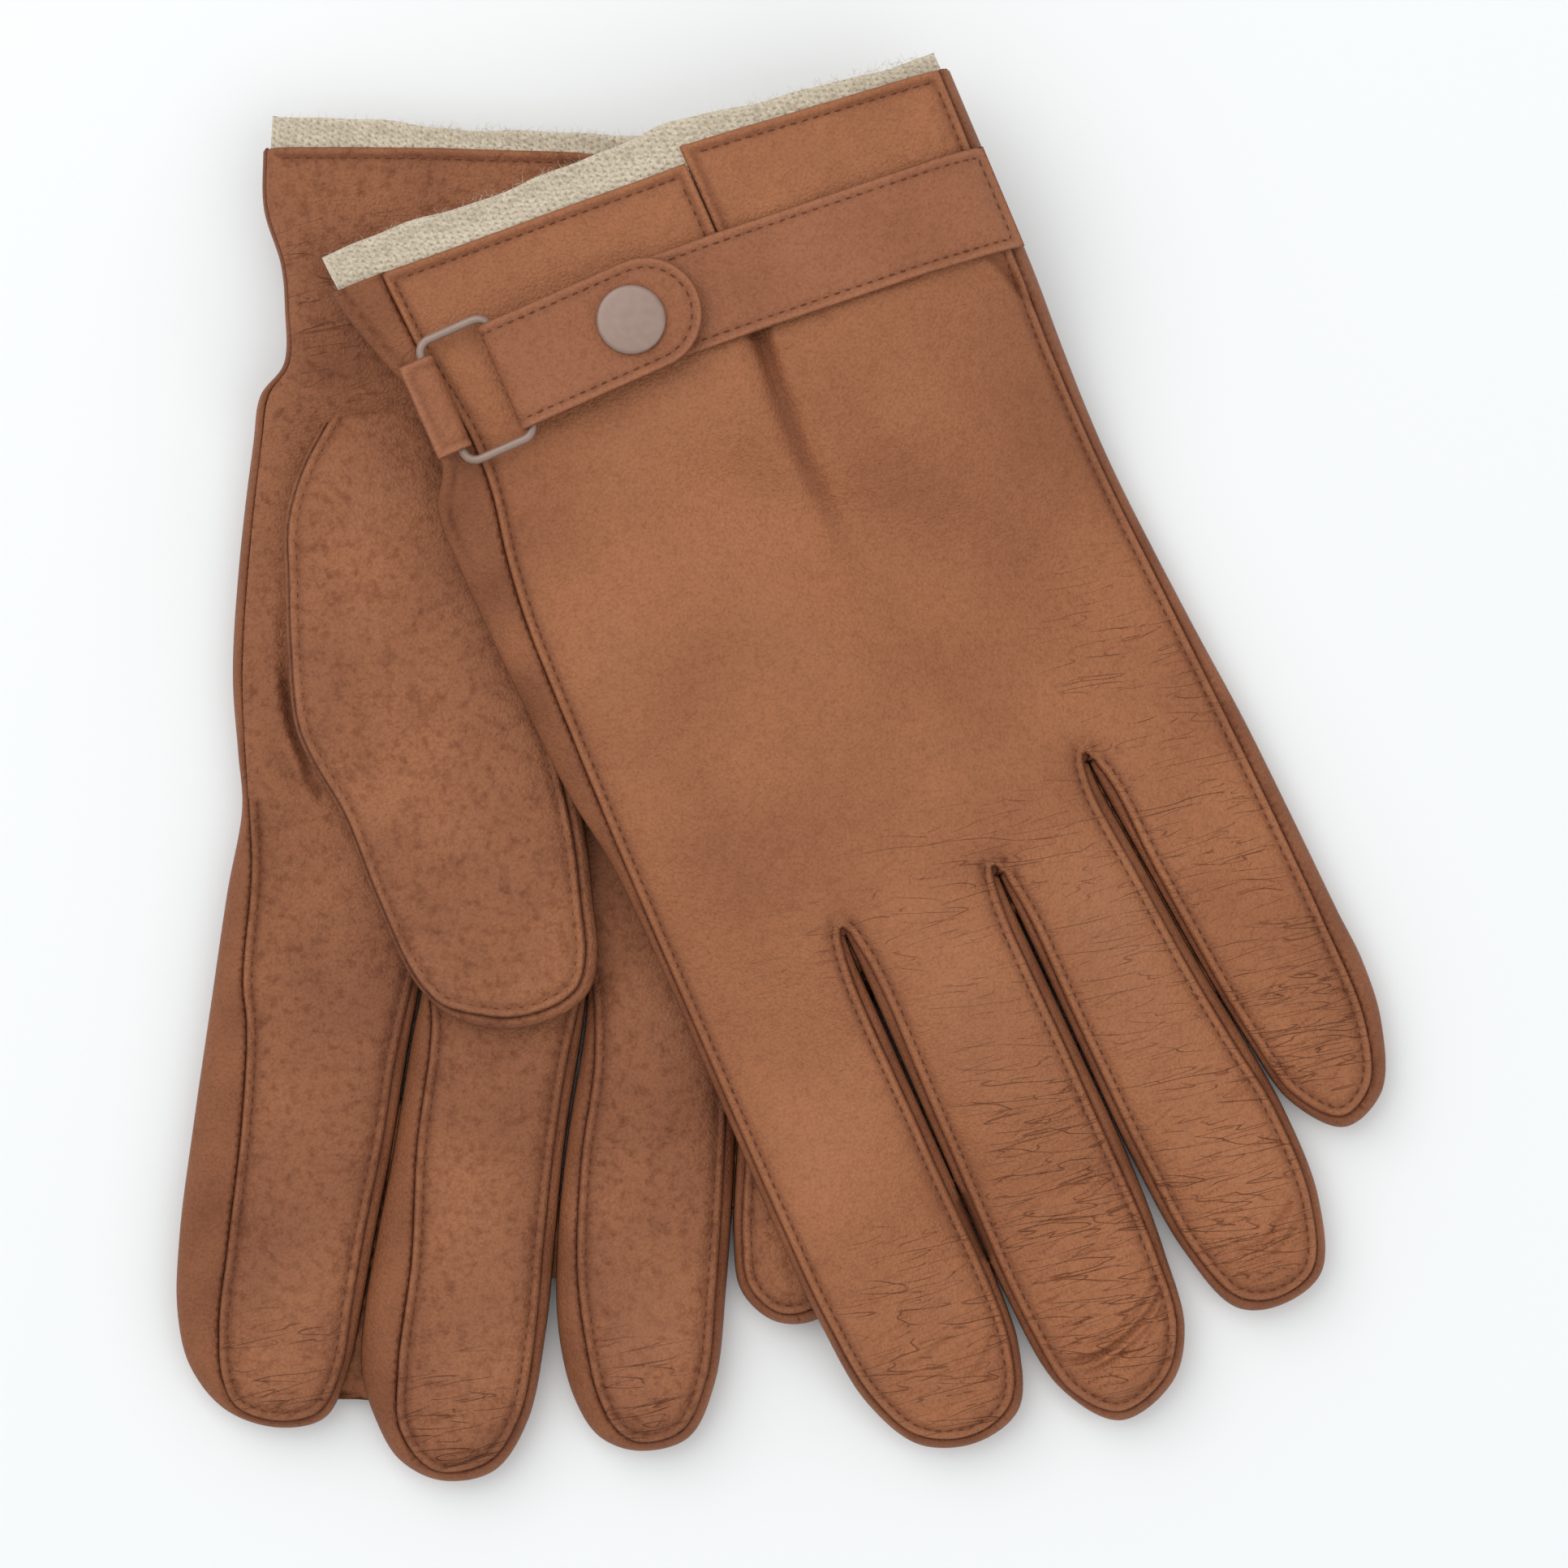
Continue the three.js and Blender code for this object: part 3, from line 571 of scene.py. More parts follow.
def tone_patches(side, at):
    """Broad darker and lighter patches at listed places."""
    total = np.zeros(len(at))
    for (x, y), (wide, tall), amount in TONE_PATCHES[side]:
        total += amount * np.exp(-((at[:, 0] - x) / wide) ** 2 - ((at[:, 1] - y) / tall) ** 2)
    return total


# Where the skin is wrinkled: the middle, the half sizes and how much.
WRINKLED = {
    "left": [
        ((-8, -62), (15, 38), 1.0), ((-40, -76), (16, 24), 0.85), ((20, -66), (15, 30), 0.9),
        ((46, -44), (13, 24), 0.9), ((0, 2), (46, 14), 0.4), ((42, 20), (16, 30), 0.4),
        ((20, -26), (14, 24), 0.55), ((44, -8), (13, 20), 0.6), ((-8, -25), (14, 20), 0.35),
    ],
    "right": [
        ((-44, -84), (12, 14), 0.6), ((-11, -90), (12, 14), 0.6), ((20, -84), (12, 14), 0.6),
        ((-50, 115), (20, 20), 0.4), ((-62, -30), (5, 60), 0.5),
    ],
}


def wrinkled(side, at):
    """How wrinkled the skin of the leather is at each point, from 0 to 1."""
    total = np.zeros(len(at))
    for (x, y), (wide, tall), amount in WRINKLED[side]:
        gap = ((at[:, 0] - x) / wide) ** 2 + ((at[:, 1] - y) / tall) ** 2
        total = np.maximum(total, amount * np.exp(-gap ** 1.5))
    return total


# ---------------------------------------------------------------- what the left glove lies on

class Ground:
    """Heights on a square grid over the table: the left glove's underside where it rests and falls.

    The leather lies on the highest thing below it, and falls away from that at no more than a given slope.
    """

    STEP = 2.0
    SLOPE = 0.42
    REACH = 22
    SMOOTHINGS = 10
    TABLE = 0.2
    CLEARANCE = 0.4
    # The right glove's edge at the wrist, as a straight line in the left glove's plan.
    WRIST_EDGE = (0.887, -0.461, 16)
    WRIST_SLOPE = 0.4
    LEVEL_FROM = (84, 102)

    def __init__(self, right, thumb_edge):
        xs = np.arange(-116, 118, self.STEP)
        ys = np.arange(-140, 142, self.STEP)
        self.low = np.array([xs[0], ys[0]])
        plan_x, plan_y = np.meshgrid(xs, ys, indexing="ij")
        spots = np.stack([plan_x.ravel(), plan_y.ravel()], axis=1)
        height = np.full(len(spots), self.TABLE)
        in_right = self.back_to_plan("right", spots)
        ring = np.vstack([right.edge, [(54, 150), (-67, 150)]])
        within = inside(in_right, ring) & (in_right[:, 1] < 146)
        height[within] = (right.middle(in_right) + right.half(in_right))[within] + self.CLEARANCE
        thumb = Line(thumb_edge, True)
        for side, bottom in THUMB_BOTTOMS.items():
            at = self.back_to_plan(side, spots)
            over = inside(at, thumb_edge)
            top = bottom + THUMB_THICK / 2 * (1 + crown(thumb.distance(at)[0], THUMB_RADIUS))
            height[over] = np.maximum(height, top + self.CLEARANCE)[over]
        height = height.reshape(plan_x.shape)
        tent = height.copy()
        padded = np.pad(height, self.REACH, constant_values=0)
        for i in range(-self.REACH, self.REACH + 1):
            for j in range(-self.REACH, self.REACH + 1):
                drop = self.SLOPE * max(0.0, math.hypot(i, j) * self.STEP - 3)
                part = padded[self.REACH + i:self.REACH + i + height.shape[0],
                              self.REACH + j:self.REACH + j + height.shape[1]]
                tent = np.maximum(tent, part - drop)
        for _ in range(self.SMOOTHINGS):
            around = np.pad(tent, 1, mode="edge")
            tent = (around[:-2, 1:-1] + around[2:, 1:-1] + around[1:-1, :-2] + around[1:-1, 2:] + tent) / 5
        self.grid = np.minimum(tent, STACK)

    @staticmethod
    def back_to_plan(side, spots):
        """Where points on the table are in a glove's plan."""
        turn = TURNS[side]
        x, y = spots[:, 0] - PLACES[side][0], spots[:, 1] - PLACES[side][1]
        cos, sin = math.cos(turn), math.sin(turn)
        return np.stack([x * cos + y * sin, y * cos - x * sin], axis=1)

    def at(self, plan):
        """The height under points of the left glove's plan."""
        spots = to_world("left", plan, np.zeros(len(plan)))[:, :2] / MM
        cell = (spots - self.low) / self.STEP
        first = np.clip(np.floor(cell).astype(int), 0, np.array(self.grid.shape) - 2)
        share = np.clip(cell - first, 0, 1)
        i, j = first[:, 0], first[:, 1]
        u, v = share[:, 0], share[:, 1]
        grid = self.grid
        rest = (grid[i, j] * (1 - u) * (1 - v) + grid[i + 1, j] * u * (1 - v)
                + grid[i, j + 1] * (1 - u) * v + grid[i + 1, j + 1] * u * v)
        # At the wrist the glove lies level, as the CAD part does, and falls past the right glove's edge.
        across, along, offset = self.WRIST_EDGE
        past_edge = across * plan[:, 0] + along * plan[:, 1] + offset
        held = STACK - np.clip(self.WRIST_SLOPE * past_edge, 0, STACK)
        return rest + (held - rest) * ease(plan[:, 1], *self.LEVEL_FROM)


# ---------------------------------------------------------------- meshes

def make(name, vertices, faces, material, tone=None, smooth_faces=True, wrinkle=None):
    """A mesh object, with its tone at each point, which holds painted shade and highlight besides patches and
    wear, and how wrinkled it is.
    """
    mesh = bpy.data.meshes.new(name)
    faces = faces.tolist() if isinstance(faces, np.ndarray) else faces
    mesh.from_pydata(np.asarray(vertices).tolist(), [], faces)
    for attribute, values in (("tone", tone), ("wrinkle", wrinkle)):
        if values is not None:
            data = mesh.attributes.new(attribute, "FLOAT", "POINT").data
            data.foreach_set("value", np.asarray(values, np.float32))
    mesh.materials.append(material)
    if smooth_faces:
        mesh.shade_smooth()
    piece = bpy.data.objects.new(name, mesh)
    bpy.context.scene.collection.objects.link(piece)
    return piece


def quads_between(rows, count, closed=False):
    """Quads between rows of points, each closed on itself. If closed, the last row meets the first one too."""
    faces = []
    for r in range(rows if closed else rows - 1):
        low, high = r * count, (r + 1) % rows * count
        for c in range(count):
            n = (c + 1) % count
            faces.append((low + c, low + n, high + n, high + c))
    return np.array(faces)


def used_only(faces):
    """Which points the faces use, and the faces numbered over only those."""
    used, packed = np.unique(faces.ravel(), return_inverse=True)
    return used, packed.reshape(faces.shape)


def solidify(piece, thickness):
    """Gives a sheet its thickness, on its inner side."""
    modifier = piece.modifiers.new("Leather thickness", "SOLIDIFY")
    modifier.thickness = thickness * MM
    modifier.offset = -1
    modifier.use_even_offset = False


def claim(piece, body, slot, *nodes):
    """Gives a piece its body and says which CAD nodes it replaces, which are hidden. The slot is not used."""
    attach(piece, body)
    if nodes:
        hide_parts(*nodes)
    return piece


# ---------------------------------------------------------------- materials

class Graph:
    """A material under construction: its shader, and short ways to add the nodes that feed it."""

    def __init__(self, name, **values):
        self.material = bpy.data.materials.new(name)
        self.material.use_nodes = True
        self.nodes = self.material.node_tree.nodes
        self.shader = self.nodes["Principled BSDF"]
        for socket, value in values.items():
            self.shader.inputs[socket.replace("_", " ")].default_value = value
        self.place = self.nodes.new("ShaderNodeTexCoord").outputs["Object"]

    def feed(self, socket, value):
        if isinstance(value, bpy.types.NodeSocket):
            self.material.node_tree.links.new(value, socket)
        else:
            socket.default_value = value

    def node(self, kind, output, **inputs):
        node = self.nodes.new("ShaderNode" + kind)
        for socket, value in inputs.items():
            self.feed(node.inputs[socket.replace("_", " ")], value)
        return node.outputs[output]

    def noise(self, scale, detail, rough=0.5, at=None):
        at = at or self.place
        return self.node("TexNoise", "Fac", Scale=scale, Detail=detail, Roughness=rough, Vector=at)

    def tone(self, name="tone"):
        """One of the mesh's own attributes."""
        node = self.nodes.new("ShaderNodeAttribute")
        node.attribute_name = name
        return node.outputs["Fac"]

    def ramp(self, value, low, high, first, last):
        return self.node("MapRange", "Result", Value=value,
                         From_Min=low, From_Max=high, To_Min=first, To_Max=last)

    def colour(self, kind, factor, first, second):
        node = self.nodes.new("ShaderNodeMix")
        node.data_type = "RGBA"
        node.blend_type = kind
        for socket, value in ((0, factor), (6, first), (7, second)):
            self.feed(node.inputs[socket], value)
        return node.outputs[2]

    def maths(self, kind, first, second=0):
        node = self.nodes.new("ShaderNodeMath")
        node.operation = kind
        self.feed(node.inputs[0], first)
        self.feed(node.inputs[1], second)
        return node.outputs[0]

    def bump(self, height, strength, distance):
        self.feed(self.shader.inputs["Normal"],
                  self.node("Bump", "Normal", Height=height, Strength=strength, Distance=distance))


# Each layer of wrinkles: its lean in degrees, its length and its width in metres, and how thin its lines are.
WRINKLE_LAYERS = ((11, 0.026, 0.0026, 0.01), (17, 0.017, 0.0019, 0.009), (4, 0.021, 0.0032, 0.009))


def wrinkles(graph):
    """Thin crack-like lines across the fingers, where the mesh says that the skin is wrinkled."""
    amount = graph.tone("wrinkle")
    lines = None
    for lean, along, across, thin in WRINKLE_LAYERS:
        mapping = graph.nodes.new("ShaderNodeMapping")
        mapping.vector_type = "TEXTURE"
        mapping.inputs["Rotation"].default_value = (0, 0, math.radians(lean))
        mapping.inputs["Scale"].default_value = (along, across, along)
        graph.feed(mapping.inputs["Vector"], graph.place)
        turned = mapping.outputs["Vector"]
        level = graph.noise(1, 1, at=turned)
        patchy = graph.ramp(graph.noise(1.3, 2, at=turned), 0.4, 0.6, 0.15, 1.0)
        crack = graph.ramp(graph.maths("ABSOLUTE", graph.maths("SUBTRACT", level, 0.5)), thin, 0, 0, 1)
        shown = graph.ramp(graph.maths("SUBTRACT", amount, patchy), -0.1, 0.35, 0, 1)
        line = graph.maths("MULTIPLY", crack, shown)
        lines = line if lines is None else graph.maths("MAXIMUM", lines, line)
    return lines


def leather(name, light, dark, speckle, grain, roughness):
    """Dyed leather: mottled, finely grained, darker with painted shade in its creases and seams, and lighter
    where it is worn and where a highlight is painted.
    """
    graph = Graph(name, Roughness=roughness, Specular_IOR_Level=0.22, Sheen_Weight=0.05, Sheen_Roughness=0.6,
                  Sheen_Tint=(0.9, 0.5, 0.32, 1))
    noise, ramp, maths = graph.noise, graph.ramp, graph.maths
    colour = graph.colour("MIX", ramp(noise(38, 5, 0.55), 0.3, 0.7, 0, 1), (*dark, 1), (*light, 1))
    skin, tone = wrinkles(graph), graph.tone()
    # Speckle and fine grain multiply the colour down; so do the fine wrinkle lines, as painted shade in them,
    # and a negative tone, which is mostly painted shade in creases, seams, stitch lines and near edges.
    for factor, tint in (
        (ramp(noise(540, 5, 0.6), 0.48, 0.71, 0, speckle), (0.68, 0.59, 0.54, 1)),
        (ramp(noise(1700, 3, 0.55), 0.44, 0.7, 0, 0.5), (0.62, 0.53, 0.48, 1)),
        (skin, (0.6, 0.49, 0.43, 1)),
        (ramp(tone, 0, -1, 0, 1), (0.36, 0.26, 0.22, 1)),
    ):
        colour = graph.colour("MULTIPLY", factor, colour, tint)
    # A positive tone lightens: wear and painted highlight on seam rolls and strap edges, and lighter patches.
    colour = graph.colour("MIX", ramp(tone, 0, 1, 0, 0.45), colour, (0.56, 0.27, 0.15, 1))
    graph.feed(graph.shader.inputs["Base Color"], colour)
    cells = graph.nodes.new("ShaderNodeTexVoronoi")
    cells.feature = "DISTANCE_TO_EDGE"
    cells.inputs["Scale"].default_value = 1050
    graph.feed(cells.inputs["Vector"], graph.place)
    height = maths("MULTIPLY", ramp(cells.outputs["Distance"], 0, 0.25, 0, 1), 0.5)
    for layer, share in ((noise(2400, 4, 0.55), 0.9), (noise(420, 4, 0.55), 1.6), (skin, -1.4)):
        height = maths("ADD", height, maths("MULTIPLY", layer, share))
    graph.bump(height, grain, 0.0002)
    return graph.material


def fibre(name, light, dark, scale, sheen=0.3):
    """Wool or thread: two-coloured fine fibres with a soft sheen."""
    graph = Graph(name, Roughness=0.9, Specular_IOR_Level=0.15, Sheen_Weight=sheen, Sheen_Roughness=0.5)
    noise = graph.noise(scale, 5)
    colour = graph.colour("MIX", graph.ramp(noise, 0.36, 0.62, 0, 1), (*dark, 1), (*light, 1))
    # Darker where the tone is negative: on the knit, painted shade in its holes and inside the mouth.
    colour = graph.colour("MULTIPLY", graph.ramp(graph.tone(), 0, -1, 0, 1), colour, (0.42, 0.36, 0.3, 1))
    graph.feed(graph.shader.inputs["Base Color"], colour)
    graph.bump(noise, 0.5, 0.0001)
    return graph.material


def enamel(name, colour):
    """Matte enamelled metal with faint brushing and small scuffs."""
    graph = Graph(name, Metallic=0.35, Coat_Weight=0.25, Coat_Roughness=0.35)
    noise = graph.noise(700, 6)
    dark, light = ((*[share * c for c in colour], 1) for share in (0.92, 1.05))
    brushed = graph.colour("MIX", graph.ramp(noise, 0.3, 0.7, 0, 1), dark, light)
    graph.feed(graph.shader.inputs["Base Color"], brushed)
    graph.feed(graph.shader.inputs["Roughness"], graph.ramp(noise, 0, 1, 0.38, 0.55))
    graph.bump(noise, 0.12, 0.00005)
    return graph.material


NAPPA = leather("Back leather", (0.4, 0.155, 0.068), (0.33, 0.123, 0.053), 0.35, 0.9, 0.58)
PALM = leather("Palm leather", (0.37, 0.147, 0.068), (0.268, 0.101, 0.049), 1.0, 1.0, 0.76)
STRAP = leather("Strap leather", (0.34, 0.128, 0.06), (0.3, 0.111, 0.051), 0.3, 0.8, 0.56)
THREAD = fibre("Thread", (0.16, 0.055, 0.025), (0.095, 0.033, 0.015), 2600, 0.03)
KNIT = fibre("Knit", (0.67, 0.58, 0.45), (0.48, 0.41, 0.31), 1900)
ELASTIC = fibre("Elastic", (0.6, 0.54, 0.44), (0.42, 0.36, 0.28), 1400)
ENAMEL = enamel("Enamelled metal", (0.3, 0.203, 0.163))


# ---------------------------------------------------------------- the glove's leather

def clip_at_cuff(glove, line):
    """The part of an open outline below the cuff's edge, closed along the edge."""
    keep = line[:, 1] < glove.cuff_y(line[:, 0]) - 0.01
    first, last = np.where(keep)[0][[0, -1]]
    line = line[first:last + 1]
    left, right = line[0, 0], line[-1, 0]
    xs = glove.cuff[:, 0]
    inner = xs[(xs > left + 1) & (xs < right - 1)]
    top = np.array([right, *inner[::-1], left])
    edge = np.stack([top, glove.cuff_y(top)], axis=1)
    return line, resample(edge, OUTLINE_STEP)


def tuck_in(glove, line, margin):
    """Moves the points of an outline that lie too near the glove's edge, or past it, back inside it."""
    ring = np.vstack([glove.edge, [(60, 170), (-70, 170)]])
    out = line.copy()
    for _ in range(4):
        gap, nearest = glove.line.distance(out)
        within = inside(out, ring)
        wanted = glove.edge[nearest] + normals(glove.edge, False)[nearest] * margin
        wrong = ~within | (gap < margin - 0.02)
        out[wrong] = wanted[wrong]
    return out


def vent_notch(edge):
    """Cuts the vent's slit into the back panel's cuff edge, which runs towards the thumb's side."""
    right = np.vstack([edge[edge[:, 0] > VENT_X + 0.5], [(VENT_X + 0.12, 144.2)]])
    left = np.vstack([[(VENT_X - 0.12, 140.9)], edge[edge[:, 0] < VENT_X - 0.5]])
    end = np.array([[VENT_X, VENT_END_Y]])
    down = resample(np.vstack([[right[-1]], end]), OUTLINE_STEP)[1:]
    up = resample(np.vstack([end, [left[0]]]), OUTLINE_STEP)[1:-1]
    return np.vstack([right, down, up, left])


def panel(glove, name, material, slot, seam, upper, step):
    """One large panel: its seam, rolled over and sewn, and its cuff edge, turned in and sewn."""
    sewn, hem = clip_at_cuff(glove, seam)
    if name.endswith("back_panel"):
        hem = vent_notch(hem)
    ring = np.vstack([sewn, hem[1:-1]])
    rings = RINGS if upper else (0.5, 1.2)
    dense = [c[:2] for c in CREASED[glove.side]] if upper and glove.side == "left" else []
    flat, faces = fill(ring, step, rings, dense=dense)
    gap, nearest = Line(ring, True).distance(flat)
    on_seam = nearest < len(sewn)
    plain = on_seam & wraps(name, flat)
    edge_height = np.where(on_seam, profile(gap, SEAM_PROFILE), profile(gap, HEM_PROFILE))
    edge_height[plain] = 0
    height = glove.upper(flat) if upper else glove.lower(flat)
    ripple = 1 + 0.25 * waves(flat, 77, 9)
    height = height + (1 if upper else -1) * edge_height * ripple
    # Painted shade along the stitches, in the seam's groove and near the edge; lighter on the seam's roll, as
    # wear and painted highlight.
    tone = -creases(glove.side, flat)[1] if upper else np.zeros(len(flat))
    dark = bell(gap, 1.8, 0.7) * 0.42 + bell(gap, 0, 0.2) * np.where(on_seam, 0.5, 0)
    wear_and_highlight = bell(gap, 0.75, 0.4) * 0.25
    near = bell(gap, 0, 4.5) * 0.2
    tone = tone + np.where(plain, 0, wear_and_highlight - dark - near) + 0.12 * waves(flat, 91, 30)
    tone = tone + tone_patches(glove.side, flat) if upper else tone
    turned = faces if upper else faces[:, ::-1]
    piece = make(name, to_world(glove.side, flat, height), turned, material, np.clip(tone, -1, 1),
                 wrinkle=wrinkled(glove.side, flat) if upper else None)
    solidify(piece, PANEL_LAYER)
    if upper:
        stitch_seams(glove, name, ring, len(sewn), slot)
    return claim(piece, f"{glove.side}_glove", slot, name)


def wraps(name, at):
    """Where a panel has no seam: the palm runs round the hand's edge above the index finger's gusset."""
    return name.endswith("palm_panel") & (at[:, 1] > PALM_WRAP_FROM) & (at[:, 0] < PALM_WRAP_X)


# The side strips' leather is in the shade of the fingers, so it is darker.
SIDE_TONE = -0.48


def side_pieces(glove, upper_seam, lower_seam):
    """The strips between the two seams: the fourchettes, the index finger's side and the palm's wrap."""
    rim, hem = clip_at_cuff(glove, glove.edge)
    outer = np.vstack([rim, hem[1:-1]])
    parts = {}
    for seam, upper in ((upper_seam, True), (lower_seam, False)):
        sewn, cuff = clip_at_cuff(glove, seam)
        hole = np.vstack([sewn, cuff[1:-1]])
        flat, faces = fill(outer, 1.1 if upper else 1.8, (0.3, 0.8, 1.5), hole=hole)
        faces = off_the_cuff(glove, flat, faces)
        gap = Line(sewn, False).distance(flat)[0]
        height = glove.upper(flat) if upper else glove.lower(flat)
        groove = SEAM_DEPTH * bell(gap, 0, 0.5)
        height = height - groove if upper else height + groove
        rolled = 0.22 * bell(gap, 0.9, 0.4)
        rim_gap = glove.line.distance(flat)[0]
        at_wrist = ease(flat[:, 1], 86, 98) * (flat[:, 0] < 0)
        rolled = rolled + at_wrist * (0.35 * bell(rim_gap, 1.0, 0.5)
                                      - 0.45 * bell(rim_gap, 2.2, 0.5))
        height = height + (rolled if upper else -rolled)
        # Painted shade in the seam's groove, and at the wrist in the groove beside the rolled rim.
        seam_groove_shade = -0.6 * bell(gap, 0, 0.4)
        tone = SIDE_TONE + seam_groove_shade + 0.12 * waves(flat, 47, 12)
        tone = tone - 0.4 * at_wrist * bell(rim_gap, 2.2, 0.6)
        nearest = glove.line.distance(flat[faces].mean(1))[1]
        labels = np.array([glove.names[i] for i in nearest])
        for label in sorted(set(labels.tolist())):
            chosen = faces[labels == label]
            if not upper:
                chosen = chosen[:, ::-1]
            used, packed = used_only(chosen)
            parts.setdefault(label, []).append((flat[used], height[used], tone[used], packed))
    for label, halves in parts.items():
        points = np.vstack([to_world(glove.side, h[0], h[1]) for h in halves])
        tone = np.concatenate([h[2] for h in halves])
        offset = np.cumsum([0] + [len(h[0]) for h in halves])
        faces = np.vstack([h[3] + offset[i] for i, h in enumerate(halves)])
        points, faces, tone = weld(points, faces, tone)
        wrap = label == "palm_panel"
        name = f"{glove.side}_palm_wrap" if wrap else f"{glove.side}_{label}"
        piece = make(name, points, faces, NAPPA, np.clip(tone, -1, 1))
        solidify(piece, PANEL_LAYER)
        replaced = [] if wrap else [name]
        claim(piece, f"{glove.side}_glove", "palm_leather" if wrap else "back_leather", *replaced)


def off_the_cuff(glove, flat, faces):
    """Leaves out the slivers along the cuff, between an outline's edge there and its hole's."""
    on_cuff = np.abs(flat[:, 1] - glove.cuff_y(flat[:, 0])) < 0.3
    return faces[~on_cuff[faces].all(1)]


def same_place(points, size):
    """The first point at each place, and which of those every point becomes."""
    keys = np.round(points / size).astype(np.int64)
    _, first, back = np.unique(keys, axis=0, return_index=True, return_inverse=True)
    return first, back.reshape(-1)


def weld(points, faces, tone):
    """Joins points that lie at the same place, and leaves out the triangles that close up."""
    first, back = same_place(points, 1e-6)
    faces = back[faces]
    good = (faces[:, 0] != faces[:, 1]) & (faces[:, 1] != faces[:, 2]) & (faces[:, 0] != faces[:, 2])
    return points[first], faces[good], tone[first]


# ---------------------------------------------------------------- stitches

# A stitch's corners round, and its width at shares of its length: it goes into the leather at both ends.
STITCH_SIDES = 6
STITCH_SHAPE = ((-0.5, 0.0), (-0.44, 0.62), (-0.2, 1.0), (0.2, 1.0), (0.44, 0.62), (0.5, 0.0))


def stitches(name, side, rows, pitch=2.1, length=1.55, radius=0.2, sink=0.05, seed=3):
    """Threads lying along rows of points. A row is an array of plan x, plan y and height."""
    draw = np.random.default_rng(seed)
    vertices, faces = [], []
    for row in rows:
        world = to_world(side, row[:, :2], row[:, 2]) / MM
        along = np.concatenate([[0], np.cumsum(np.linalg.norm(np.diff(world, axis=0), axis=1))])
        for at in np.arange(pitch / 2, along[-1] - pitch / 2, pitch):
            reach = length * draw.uniform(0.92, 1.06) / 2
            ends = [[np.interp(at + s, along, world[:, k]) for k in range(3)] for s in (-reach, reach)]
            a, b = np.array(ends[0]), np.array(ends[1])
            size = np.linalg.norm(b - a)
            if size < reach:
                continue
            ahead = (b - a) / size
            across = np.cross(ahead, [0, 0, 1])
            across /= max(np.linalg.norm(across), 1e-6)
            up = np.cross(across, ahead)
            ahead = ahead + across * draw.normal(0, 0.06)
            middle = (a + b) / 2 - up * sink
            base = len(vertices)
            for share, wide in STITCH_SHAPE:
                spot = middle + ahead * share * size - up * radius * 0.9 * (2 * abs(share)) ** 3
                for k in range(1 if wide == 0 else STITCH_SIDES):
                    angle = math.tau * k / STITCH_SIDES
                    out = across * math.cos(angle) + up * math.sin(angle)
                    vertices.append(spot + out * radius * wide)
            rings = [base] + [base + 1 + k * STITCH_SIDES for k in range(5)]
            for k in range(STITCH_SIDES):
                n = (k + 1) % STITCH_SIDES
                faces.append((rings[0], rings[1] + k, rings[1] + n))
                for low, high in zip(rings[1:4], rings[2:5]):
                    faces.append((low + k, high + k, high + n))
                    faces.append((low + k, high + n, low + n))
                faces.append((rings[4] + k, rings[5], rings[4] + n))
    return make(name, np.array(vertices) * MM, np.array(faces), THREAD)


THREAD_RADII = {"back": 0.16, "palm": 0.12, "thumb": 0.13}
# How far inside their edges the seams and the hems are sewn.
SEAM_SEW = 1.65
HEM_SEW = 2.1


def inset_rows(ring, use, inset, height):
    """Rows of points inside an outline where use is true, with their heights."""
    line = Line(ring, True)
    at = ring + normals(ring) * inset
    good = use & (line.distance(at)[0] > 0.94 * inset) & inside(at, ring)
    rows, row = [], []
    for spot, keep in zip(at, good):
        if keep and (not row or np.hypot(*(spot - row[-1])) < 4):
            row.append(spot)
        else:
            if len(row) > 6:
                rows.append(np.array(row))
            row = [spot] if keep else []
    if len(row) > 6:
        rows.append(np.array(row))
    return [np.column_stack([r, height(r)]) for r in rows]


def stitch_seams(glove, name, ring, sewn, slot):
    """The stitches of a panel: along its seam, which is the outline's first part, and along its hem."""
    seam = (np.arange(len(ring)) < sewn) & ~wraps(name, ring)
    tucked = (ring[:, 0] > VENT_X - 0.01) & (ring[:, 0] < VENT_X + 1.5) & (ring[:, 1] < 143.5)
    hem = (np.arange(len(ring)) >= sewn) & ~tucked

    def height(at):
        return glove.upper(at) - 0.04

    rows = inset_rows(ring, seam, SEAM_SEW, height) + inset_rows(ring, hem, HEM_SEW, height)
    radius = THREAD_RADII["back" if name.endswith("back_panel") else "palm"]
    piece = stitches(f"{name}_stitches", glove.side, rows, radius=radius)
    claim(piece, f"{glove.side}_glove", slot)


# ---------------------------------------------------------------- thumbs

